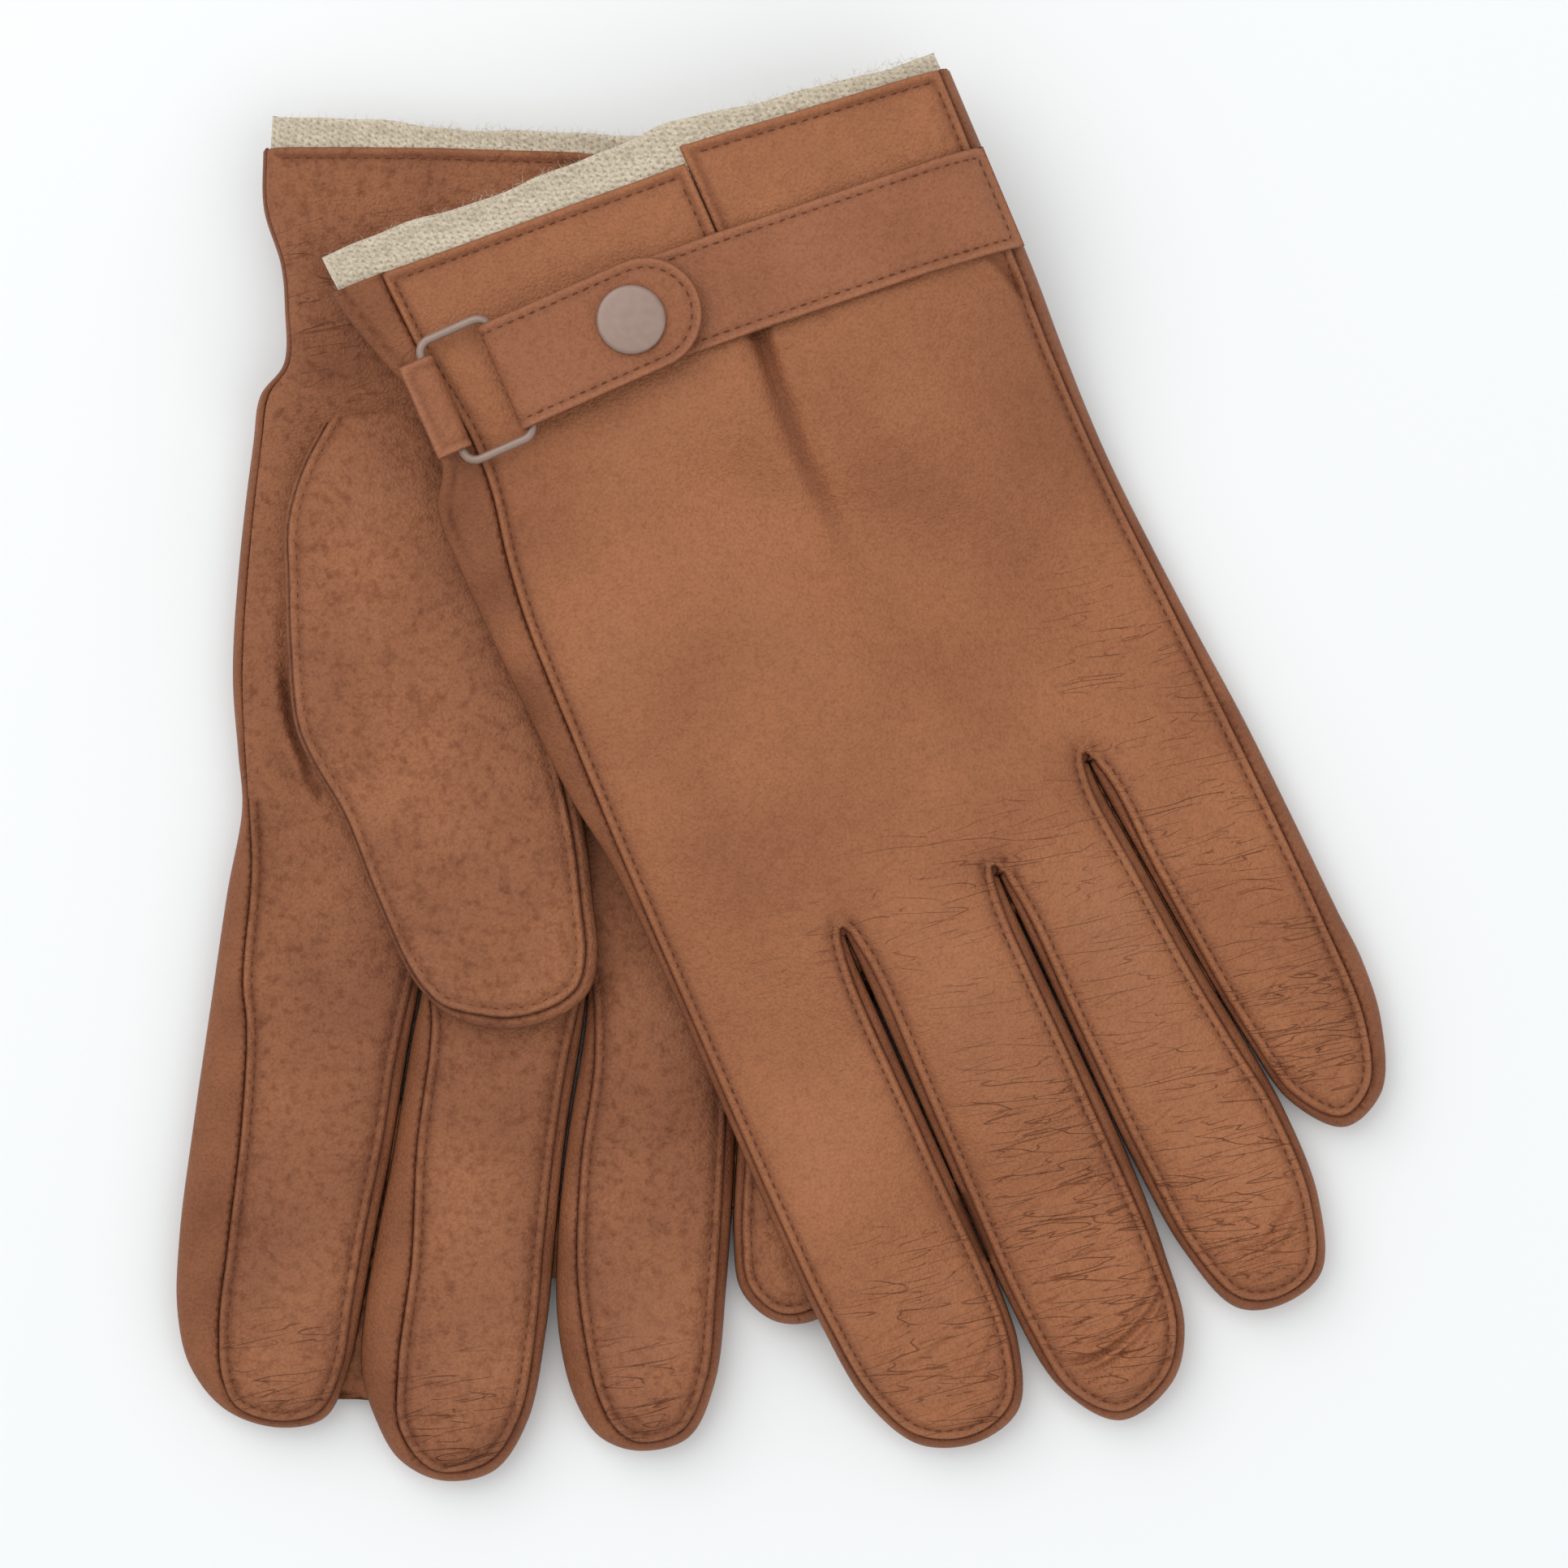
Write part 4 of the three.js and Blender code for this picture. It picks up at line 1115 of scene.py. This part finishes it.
def thumb(side, upper_is_front, bottom, step):
    """A padded thumb lying on the palm: the front, inside its rim seam, and the back with the rim."""
    edge = smooth(THUMB_EDGE, OUTLINE_STEP, closed=True)
    line = Line(edge, True)
    inwards = normals(edge)
    near_index = ease(inwards[:, 0], 0.1, 0.6)
    inset = THUMB_SEAM_INSET - (THUMB_SEAM_INSET - THUMB_TIGHT_INSET) * near_index
    seam = edge + inwards * inset[:, None]
    seam = seam[line.distance(seam)[0] > 0.95 * inset]
    seam = resample(seam, OUTLINE_STEP, closed=True)

    def heights(at, upper):
        """The thumb thins out towards its root, where it is sewn into the palm."""
        root = ease(at[:, 1], 70, 100)
        thick = THUMB_THICK * (1 - 0.6 * root)
        middle = bottom + THUMB_THICK / 2 - 1.6 * root
        soft = 0.3 * waves(at, 61, 30) + 0.1 * waves(at, 62, 9)
        full = thick / 2 * crown(line.distance(at)[0], THUMB_RADIUS)
        return middle + (full + soft * full / THUMB_THICK if upper else -full)

    flat, faces = fill(seam, step)
    gap = Line(seam, True).distance(flat)[0]
    ridge = profile(gap, SEAM_PROFILE) * (1 + 0.2 * waves(flat, 63, 8))
    height = heights(flat, True) + ridge
    # Lighter on the seam's roll, as wear and painted highlight; painted shade in the seam's groove and along
    # the stitch line.
    tone = 0.3 * bell(gap, 0.75, 0.35) - 0.75 * bell(gap, 0, 0.3) - 0.35 * bell(gap, 1.9, 0.7)
    tone = tone + 0.12 * waves(flat, 64, 20)
    front, back = ("thumb_front", "thumb_back") if upper_is_front else ("thumb_back", "thumb_front")
    top = make(f"{side}_{front}", to_world(side, flat, height), faces, PALM, np.clip(tone, -1, 1))
    solidify(top, THUMB_LAYER)
    claim(top, f"{side}_glove", "palm_leather", f"{side}_{front}")

    rim_flat, rim_faces = fill(edge, 0.9, (0.3, 0.8, 1.4), hole=seam)
    rim_gap = Line(seam, True).distance(rim_flat)[0]
    rim_height = heights(rim_flat, True) - SEAM_DEPTH * bell(rim_gap, 0, 0.5)
    rim_height += 0.3 * bell(rim_gap, 1.1, 0.5)
    low_flat, low_faces = fill(edge, 2.0, (0.5, 1.2))
    low_height = heights(low_flat, False)
    points = np.vstack([to_world(side, rim_flat, rim_height), to_world(side, low_flat, low_height)])
    joined = np.vstack([rim_faces, low_faces[:, ::-1] + len(rim_flat)])
    # Painted shade in the rim's seam groove; the rim is a little darker throughout, and the underside more so.
    rim_tone = np.concatenate([-0.7 * bell(rim_gap, 0, 0.4) - 0.15, np.full(len(low_flat), -0.2)])
    points, joined, rim_tone = weld(points, joined, rim_tone)
    under = make(f"{side}_{back}", points, joined, PALM, rim_tone)
    solidify(under, THUMB_LAYER)
    claim(under, f"{side}_glove", "palm_leather", f"{side}_{back}")
    rows = inset_rows(seam, np.ones(len(seam), bool), SEAM_SEW, lambda at: heights(at, True) - 0.1)
    sewn = stitches(f"{side}_thumb_stitches", side, rows, pitch=2.3, radius=THREAD_RADII["thumb"], seed=9)
    claim(sewn, f"{side}_glove", "palm_leather")


# ---------------------------------------------------------------- knit lining

# The width of the knit's columns, the height of its stitches, and the wall of the rolled rim.
WALE = 1.36
COURSE = 1.15
KNIT_WALL = 2.3
KNIT_RELIEF = 0.38
# How far the lining lies inside the glove's edge and under its face, at the mouth and then deeper down.
LINING_INSET = 1.4
LINING_UNDER = 1.35
LINING_DEEPER = 1.8


def knit_relief(around, along):
    """The relief of plain knitting: columns of V stitches."""
    column = around / WALE
    share = np.abs(column - np.floor(column) - 0.5)
    row = along / COURSE - 0.8 * share + 0.5 * column
    row = row + 0.15 * np.sin(column * 1.7) + 0.1 * np.sin(along * 1.3)
    between = np.exp(-((row - np.round(row)) / 0.2) ** 2)
    pore = between * np.exp(-((0.5 - share) / 0.18) ** 2)
    return 1 - 0.7 * pore - 0.2 * between - 0.1 * bell(share, 0, 0.1)


def lining(glove):
    """The knit bag's mouth: out of the cuff, over a rounded rim and down inside the hand."""
    side = glove.side
    left = np.interp(146, glove.edge[:40, 1][::-1], glove.edge[:40, 0][::-1]) + LINING_INSET
    right = np.interp(146, glove.edge[-40:, 1], glove.edge[-40:, 0]) - LINING_INSET
    wide = right - left
    top = np.linspace(0, 1, int(wide / (WALE / 6)))
    bottom = np.linspace(1, 0, int(wide / 0.45))[1:-1]
    share = np.concatenate([top, bottom])
    sign = np.concatenate([np.ones(len(top)), -np.ones(len(bottom))])
    knit_line = np.array(KNIT_LINES[side], float)
    x = left + wide * share
    rim_y = np.interp(x, knit_line[:, 0], knit_line[:, 1])
    rim_y = rim_y + 0.5 * np.sin(x / 10 + 1) + 0.25 * np.sin(x / 4.1) + 0.1 * np.sin(x / 1.9)
    # Each row: how far below the rim, how far in from the outer face, and whether it shows stitches.
    rows = [(d, 0.0, 1.0) for d in (60, 44, 30, 22, 18)]
    rows += [(d, 0.0, 1.0) for d in np.arange(15, 1.0, -0.25)]
    for angle in np.linspace(0, math.pi, 10):
        rows.append((1.1 - 1.1 * math.sin(angle), KNIT_WALL / 2 * (1 - math.cos(angle)), 1.0))
    rows += [(d, KNIT_WALL, 1.0) for d in np.arange(1.4, 8, 0.3)]
    rows += [(d, KNIT_WALL, 0.5) for d in (10, 14, 20, 30, 44, 58)]
    points, tones = [], []
    closing = np.sqrt(np.clip(1 - (2 * share - 1) ** 8, 0, 1))
    start, end = glove.edge[:len(glove.edge) // 3], glove.edge[-len(glove.edge) // 3:]
    start = start[start[:, 1] > 60][::-1]
    end = end[end[:, 1] > 60]
    for deep, inward, show in rows:
        low_x = np.interp(rim_y - deep, start[:, 1], start[:, 0]) + LINING_INSET
        high_x = np.interp(rim_y - deep, end[:, 1], end[:, 0]) - LINING_INSET
        at = np.stack([low_x + (high_x - low_x) * share, rim_y - deep], axis=1)
        where = np.stack([np.clip(at[:, 0], low_x + 0.2, high_x - 0.2), at[:, 1]], axis=1)
        outside = inward < KNIT_WALL
        under = LINING_UNDER + LINING_DEEPER * ease(deep, 9, 16)
        half = np.maximum(glove.half(where) - under, 0.6) * closing
        relief = knit_relief(x, rim_y - deep + (inward if outside else KNIT_WALL + 2 * deep))
        half = np.maximum(half - inward + KNIT_RELIEF * relief * show * (1 if outside else -1), 0.15)
        droop = -0.5 * ease(-deep, -6, 0)
        points.append(to_world(side, at, glove.middle(where) + sign * half + droop))
        # Painted shade in the knit's holes between stitches; the outer face a touch lighter and the inner face
        # darker, as painted shade inside the mouth.
        tones.append((relief - 1) * show + (0.1 if outside else -0.1))
    faces = quads_between(len(rows), len(x))[:, ::-1]
    piece = make(f"{side}_knit_lining", np.vstack(points), faces, KNIT, np.concatenate(tones))
    claim(piece, f"{side}_glove", "knit", f"{side}_knit_lining")
    return left, right


FIBRES = 1500
FIBRE_RADIUS = 0.045
FIBRE_SPANS = 4


def fuzz(glove, left, right):
    """Loose wool fibres standing off the lining's rim and face."""
    side = glove.side
    draw = np.random.default_rng(21 if side == "left" else 22)
    knit_line = np.array(KNIT_LINES[side], float)
    vertices, faces = [], []
    for _ in range(FIBRES):
        x = draw.uniform(left + 0.5, right - 0.5)
        deep = abs(draw.normal(0, 2.2)) if draw.random() < 0.65 else draw.uniform(0, 7)
        y = np.interp(x, knit_line[:, 0], knit_line[:, 1]) - min(deep, 7.5)
        spot = np.array([[x, y]])
        height = glove.middle(spot)[0] + max(glove.half(spot)[0] - LINING_UNDER, 0.9) + 0.15
        heading = draw.uniform(0, math.tau)
        length = draw.uniform(0.6, 2.2)
        bend = draw.normal(0, 1.2)
        at = np.array([x, y, height - (0.9 if deep < 0.8 else 0)])
        path = [at]
        for k in range(FIBRE_SPANS):
            angle = heading + bend * k / FIBRE_SPANS
            rise = 0.35 * math.cos(k * 0.8)
            at = at + np.array([math.cos(angle), math.sin(angle), rise]) * length / FIBRE_SPANS
            path.append(at)
        path = np.array(path)
        base = len(vertices)
        for k, spot in enumerate(to_world(side, path[:, :2], path[:, 2])):
            size = FIBRE_RADIUS * MM * (1 - 0.7 * k / FIBRE_SPANS)
            for corner in range(3):
                angle = math.tau * corner / 3
                out = np.array([math.cos(angle), 0.5 * math.sin(angle), math.sin(angle)])
                vertices.append(spot + out * size)
        faces += [tuple(base + v for v in quad) for quad in quads_between(FIBRE_SPANS + 1, 3).tolist()]
        end = base + 3 * FIBRE_SPANS
        faces.append((base, base + 2, base + 1))
        faces.append((end, end + 1, end + 2))
    piece = make(f"{side}_lining_fuzz", vertices, faces, KNIT, smooth_faces=False)
    claim(piece, f"{side}_glove", "knit")


# ---------------------------------------------------------------- strap, ring and snap

def fitting_height(side, out):
    """The height above the table of what lies that far out from the back's face."""
    return BACK_FACE[side] + OUTWARDS[side] * out


EDGE_ROUND = ((0, -0.28), (0.12, -0.12), (0.3, -0.02), (0.6, 0.02), (1.2, 0), (1.8, -0.1), (2.4, 0))
STRAP_SEW = 1.8


def plate(name, side, border, carry, body):
    """A strip of leather. carry(flat, out) gives plan x and y and the height out from the back's face."""
    flat, faces = fill(border, 0.8, (0.12, 0.3, 0.6, 1.0, 1.5, 1.8, 2.2))
    gap = Line(border, True).distance(flat)[0]
    edge = profile(gap, EDGE_ROUND)
    soft = 0.05 * waves(flat, 15, 9) + 0.02 * waves(flat, 16, 3)
    both = np.vstack([carry(flat, LEATHER + edge + soft), carry(flat, np.maximum(-edge, 0))])
    n = len(flat)
    walls = []
    for i in range(len(border)):
        j = (i + 1) % len(border)
        walls += [(i, i + n, j + n), (i, j + n, j)]
    all_faces = np.vstack([faces, faces[:, ::-1] + n, np.array(walls)])
    world = to_world(side, both[:, :2], fitting_height(side, both[:, 2]))
    if OUTWARDS[side] < 0:
        all_faces = all_faces[:, ::-1]
    # Darker at the very edge, as a burnished edge and painted shade where it rounds over, and painted shade in
    # the stitch groove; lighter on the edge's rounded top, as wear and painted highlight. The underside is
    # darker throughout.
    dark = 0.7 * bell(gap, 0, 0.2) + 0.3 * np.exp(-((gap - STRAP_SEW) / 0.5) ** 2)
    wear_and_highlight = 0.3 * bell(gap, 0.6, 0.3)
    tone = np.concatenate([wear_and_highlight - dark + 0.1 * waves(flat, 18, 18), np.full(n, -0.3)])
    piece = make(name, world, all_faces, STRAP, np.clip(tone, -1, 1))
    claim(piece, body, "strap_leather", name)


def edge_stitches(name, side, border, carry, body, seed):
    """Stitches along a strip's edge, all round."""
    at = border + normals(border) * STRAP_SEW
    at = at[Line(border, True).distance(at)[0] > 0.95 * STRAP_SEW]
    at = resample(at, OUTLINE_STEP, closed=True)
    spots = carry(at, np.full(len(at), LEATHER - 0.08))
    row = np.column_stack([spots[:, :2], fitting_height(side, spots[:, 2])])
    claim(stitches(name, side, [row], seed=seed), body, "strap_leather")


def outline(points):
    return resample(np.array(points, float), OUTLINE_STEP, closed=True)


def strap_outline():
    """From beside the ring's bar to the side seam, with the strap's gentle bends."""
    start = TAIL_BAR_X + WIRE + GAP + LEATHER + GAP
    line = [(start, 0)] + STRAP_BENDS
    near = [(x, STRAP_Y + drop - STRAP_HALF) for x, drop in line]
    far = [(x, STRAP_Y + drop + STRAP_HALF) for x, drop in reversed(line)]
    return outline(near + far)


def half_circle(centre, radius, start, end, steps=24):
    angles = np.linspace(start, end, steps)
    return [(centre[0] + radius * math.cos(a), centre[1] + radius * math.sin(a)) for a in angles]


def strap(glove):
    """The strap across the wrist: it follows the glove's face past the snap, as far as the side seam."""
    side = glove.side

    def carry(flat, out):
        x = flat[:, 0]
        on_glove = np.stack([np.minimum(x, STRAP_SEWN_X), flat[:, 1]], axis=1)
        outer_face = glove.middle(on_glove) + OUTWARDS[side] * glove.half(on_glove)
        rest = OUTWARDS[side] * (outer_face - BACK_FACE[side])
        return np.column_stack([x, flat[:, 1], STRAP_LIFT + rest * ease(x, 4, 30) + out])

    plate(f"{side}_strap", side, strap_outline(), carry, f"{side}_glove")
    edge_stitches(f"{side}_strap_stitches", side, strap_outline(), carry, f"{side}_glove", seed=4)


def wrap_carry(bar_x, sign, inner):
    """Carries a strip laid out flat round a bar: before the bar it lies on top, past it it turns under."""
    def carry(flat, out):
        # s is how far along the strip, from 0 at the bar; negative is the top layer.
        s = flat[:, 0]
        radius = inner + out
        turn = np.clip(s / (inner + LEATHER / 2), 0, math.pi)
        past = np.maximum(s - math.pi * (inner + LEATHER / 2), 0)
        x = bar_x + sign * (radius * np.sin(turn)) - sign * (np.maximum(-s, 0) + past)
        z = BAR_Z + radius * np.cos(turn)
        return np.column_stack([x, flat[:, 1], z])
    return carry


def tail(side):
    """The strap's end, turned back over the ring's bar, with a round end under the snap."""
    top = TAIL_END_X - TAIL_BAR_X
    under = 0.95 * math.pi * (WIRE + GAP + LEATHER / 2)
    centre = (-(top - TAIL_HALF), STRAP_Y)
    end = half_circle(centre, TAIL_HALF, 1.5 * math.pi, 0.5 * math.pi, 40)
    points = [(under, STRAP_Y - TAIL_HALF)] + [(under, STRAP_Y + TAIL_HALF)] + end[::-1]
    edge = outline(points)
    carry = wrap_carry(TAIL_BAR_X, -1, WIRE + GAP)
    plate(f"{side}_strap_tail", side, edge, carry, f"{side}_tail")
    edge_stitches(f"{side}_tail_stitches", side, edge, carry, f"{side}_tail", seed=5)


def keeper_tab(side):
    """The short loop that holds the ring's other bar."""
    top = TAB_BAR_X - TAB_ROOT_X
    end = math.pi * (WIRE + GAP + LEATHER / 2) + top
    points = [(-top, STRAP_Y - TAB_HALF), (end, STRAP_Y - TAB_HALF), (end, STRAP_Y + TAB_HALF),
              (-top, STRAP_Y + TAB_HALF)]
    carry = wrap_carry(TAB_BAR_X, 1, WIRE + GAP)
    plate(f"{side}_ring_keeper_tab", side, outline(points), carry, f"{side}_glove")


RING_CORNER = 2.4
RING_SIDES = 14


def ring(side):
    """A rectangle of round wire with rounded corners."""
    half_x = (TAIL_BAR_X - TAB_BAR_X) / 2
    half_y = TAIL_HALF + 1.5
    corner = RING_CORNER
    path = []
    for cx, cy, start in ((1, 1, 0), (-1, 1, 0.5), (-1, -1, 1), (1, -1, 1.5)):
        centre = (cx * (half_x - corner), cy * (half_y - corner))
        path += half_circle(centre, corner, start * math.pi, (start + 0.5) * math.pi, 10)
    path = resample(np.array(path), 0.5, closed=True) + [TAB_BAR_X + half_x, STRAP_Y]
    across = normals(path)
    vertices = []
    for k in range(RING_SIDES):
        angle = math.tau * k / RING_SIDES
        at = path + across * WIRE * math.cos(angle)
        height = fitting_height(side, BAR_Z + WIRE * math.sin(angle))
        vertices.append(to_world(side, at, np.full(len(at), height)))
    faces = quads_between(RING_SIDES, len(path), closed=True)
    piece = make(f"{side}_ring", np.vstack(vertices), faces, ENAMEL)
    claim(piece, f"{side}_ring", "enamelled_metal", f"{side}_ring")


LATHE_STEPS = 72


def lathe(name, side, profile_points, body, node):
    """A turned piece about the snap's axis. Profile: radius and height out from the back's face."""
    line = resample(np.array(profile_points, float), 0.18)
    vertices = []
    for radius, out in line:
        angles = np.linspace(0, math.tau, LATHE_STEPS, endpoint=False)
        at = np.stack([SNAP_X + radius * np.cos(angles), STRAP_Y + radius * np.sin(angles)], axis=1)
        vertices.append(to_world(side, at, np.full(LATHE_STEPS, fitting_height(side, out))))
    faces = quads_between(len(line), LATHE_STEPS)
    if OUTWARDS[side] < 0:
        faces = faces[:, ::-1]
    points, faces = weld_quads(np.vstack(vertices), faces)
    piece = make(name, points, faces, ENAMEL)
    claim(piece, body, "enamelled_metal", node)


def weld_quads(points, faces):
    """Joins points that lie at the same place. Quads that lose a corner become triangles."""
    first, back = same_place(points, 1e-7)
    out = []
    for face in back[faces].tolist():
        corners = [v for i, v in enumerate(face) if v != face[i - 1]]
        if len(corners) > 2:
            out.append(tuple(corners))
    return points[first], out


SNAP_CAP_RADIUS = 6.25


def snap(side):
    """The domed cap and the socket on the tail, and the stud and its post on the strap."""
    z = TAIL_Z + LEATHER + GAP
    cap = SNAP_CAP_RADIUS
    lathe(f"{side}_snap_cap", side, [
        (0, TAIL_Z - 0.2), (1, TAIL_Z - 0.2), (1, z), (cap - 0.35, z), (cap - 0.05, z + 0.15), (cap, z + 0.4),
        (cap - 0.12, z + 0.72), (cap - 0.5, z + 0.96), (cap - 1.1, z + 1.02), (cap - 2.2, z + 1.08),
        (cap - 4, z + 1.17), (0, z + 1.2),
    ], f"{side}_tail", f"{side}_snap_cap")
    low, high = STRAP_LIFT + LEATHER + GAP, TAIL_Z - GAP
    lathe(f"{side}_snap_socket", side, [(2.2, low), (4.6, low), (4.8, low + 0.3), (4.8, high - 0.3),
          (4.5, high), (2.4, high), (2.2, high - 0.2), (2.2, low)], f"{side}_tail", f"{side}_snap_socket")
    lathe(f"{side}_snap_stud", side, [(0, STRAP_LIFT), (1, STRAP_LIFT), (1, low), (1.7, low),
          (1.9, low + 0.3), (1.9, high - 0.5), (1.5, high), (0, high)], f"{side}_glove", f"{side}_snap_stud")
    lathe(f"{side}_snap_post", side, [(0, GAP), (4.6, GAP), (4.8, GAP + 0.15), (4.6, STRAP_LIFT - GAP),
          (0, STRAP_LIFT - GAP)], f"{side}_glove", f"{side}_snap_post")


ELASTIC_X = (-52, 46)
ELASTIC_Y = (100.5, 107.5)


def elastic(glove):
    """The gathered elastic inside the palm's wrist: two faces of a band, and its edges."""
    side = glove.side
    xs = np.arange(*ELASTIC_X, 0.7)
    ys = np.linspace(*ELASTIC_Y, 8)
    rows, count = len(ys), len(xs)
    points, faces = [], []
    for layer in (0, 1):
        for y in ys:
            at = np.stack([xs, np.full(count, y)], axis=1)
            inwards = THICK - LEATHER * 1.6 - 0.5 * layer + 0.12 * np.sin(xs * math.tau / 2.1)
            fall = 0.0 * xs if glove.ground is None else glove.ground.at(at) - STACK
            points.append(to_world(side, at, fitting_height(side, fall - inwards)))
        for r in range(rows - 1):
            for c in range(count - 1):
                a = (layer * rows + r) * count + c
                quad = (a, a + 1, a + count + 1, a + count)
                faces.append(quad if layer == 1 else quad[::-1])
    rim = (list(range(count)) + [r * count + count - 1 for r in range(1, rows)]
           + [(rows - 1) * count + c for c in range(count - 2, -1, -1)]
           + [r * count for r in range(rows - 2, 0, -1)])
    size = rows * count
    for i, a in enumerate(rim):
        b = rim[(i + 1) % len(rim)]
        faces.append((a, b, b + size, a + size))
    faces = np.array(faces)
    if OUTWARDS[side] < 0:
        faces = faces[:, ::-1]
    piece = make(f"{side}_wrist_elastic", np.vstack(points), faces, ELASTIC)
    claim(piece, f"{side}_glove", "elastic", f"{side}_wrist_elastic")


# ---------------------------------------------------------------- stage

def floor():
    """The pale table top."""
    material = bpy.data.materials.new("Pale floor")
    material.use_nodes = True
    shader = material.node_tree.nodes["Principled BSDF"]
    shader.inputs["Base Color"].default_value = (0.88, 0.893, 0.893, 1)
    shader.inputs["Roughness"].default_value = 0.85
    shader.inputs["Specular IOR Level"].default_value = 0.1
    size = 3.0
    plane = make("floor", [(-size, -size, 0), (size, -size, 0), (size, size, 0), (-size, size, 0)],
                 [(0, 1, 2, 3)], material, smooth_faces=False)


def area_light(name, place, size, power, colour=(1, 1, 1)):
    data = bpy.data.lights.new(name, "AREA")
    data.shape = "RECTANGLE"
    data.size, data.size_y = size
    data.energy = power
    data.color = colour
    light = bpy.data.objects.new(name, data)
    light.location = place
    light.rotation_euler = (Vector((0, 0, 0)) - Vector(place)).to_track_quat("-Z", "Y").to_euler()
    bpy.context.scene.collection.objects.link(light)


# Where the left glove's plan has its origin, from the middle of the pair.
LEFT_ORIGIN = (34.6, -21.6)


def stage():
    """The table, the soft light and the camera."""
    floor()
    area_light("Key", (-0.7, 0.7, 1.3), (1.6, 1.6), 13)
    area_light("Fill", (0.9, -0.5, 1.4), (1.6, 1.6), 6)
    world = bpy.data.worlds.new("Studio")
    world.use_nodes = True
    world.node_tree.nodes["Background"].inputs["Color"].default_value = (0.97, 0.99, 1.0, 1)
    world.node_tree.nodes["Background"].inputs["Strength"].default_value = 0.68
    bpy.context.scene.world = world
    scene = bpy.context.scene
    scene.view_settings.view_transform = "Standard"
    camera_data = bpy.data.cameras.new("Camera")
    camera_data.lens = 110
    camera_data.sensor_width = 36
    camera = bpy.data.objects.new("Camera", camera_data)
    # Straight above the middle of the pair, where it frames this width at this height.
    framed, level = 0.2866, 0.018
    distance = framed * camera_data.lens / camera_data.sensor_width
    centre_x, centre_y = PLACES["left"][0] - LEFT_ORIGIN[0], PLACES["left"][1] - LEFT_ORIGIN[1]
    camera.location = (centre_x * MM - 0.0004, centre_y * MM - 0.003, distance + level)
    bpy.context.scene.collection.objects.link(camera)
    scene.camera = camera


right_glove = Glove("right")
left_glove = Glove("left", Ground(right_glove, smooth(THUMB_EDGE, 1.0, closed=True)))

for glove, on_top in ((right_glove, "palm"), (left_glove, "back")):
    side = glove.side
    back = tuck_in(glove, smooth(BACK_SEAM, SEAM_STEP), SEAM_INSETS["back"])
    palm = tuck_in(glove, smooth(PALM_SEAM, SEAM_STEP), SEAM_INSETS["palm"])
    step = TOP_STEPS[side]
    panel(glove, f"{side}_back_panel", NAPPA, "back_leather", back, on_top == "back",
          step if on_top == "back" else HIDDEN_STEP)
    panel(glove, f"{side}_palm_panel", PALM, "palm_leather", palm, on_top == "palm",
          step if on_top == "palm" else HIDDEN_STEP)
    side_pieces(glove, back if on_top == "back" else palm, palm if on_top == "back" else back)
    lining_left, lining_right = lining(glove)
    fuzz(glove, lining_left, lining_right)
    strap(glove)
    tail(side)
    keeper_tab(side)
    ring(side)
    snap(side)
    elastic(glove)

thumb("right", True, THUMB_BOTTOMS["right"], THUMB_STEP)
thumb("left", False, THUMB_BOTTOMS["left"], HIDDEN_THUMB_STEP)
stage()
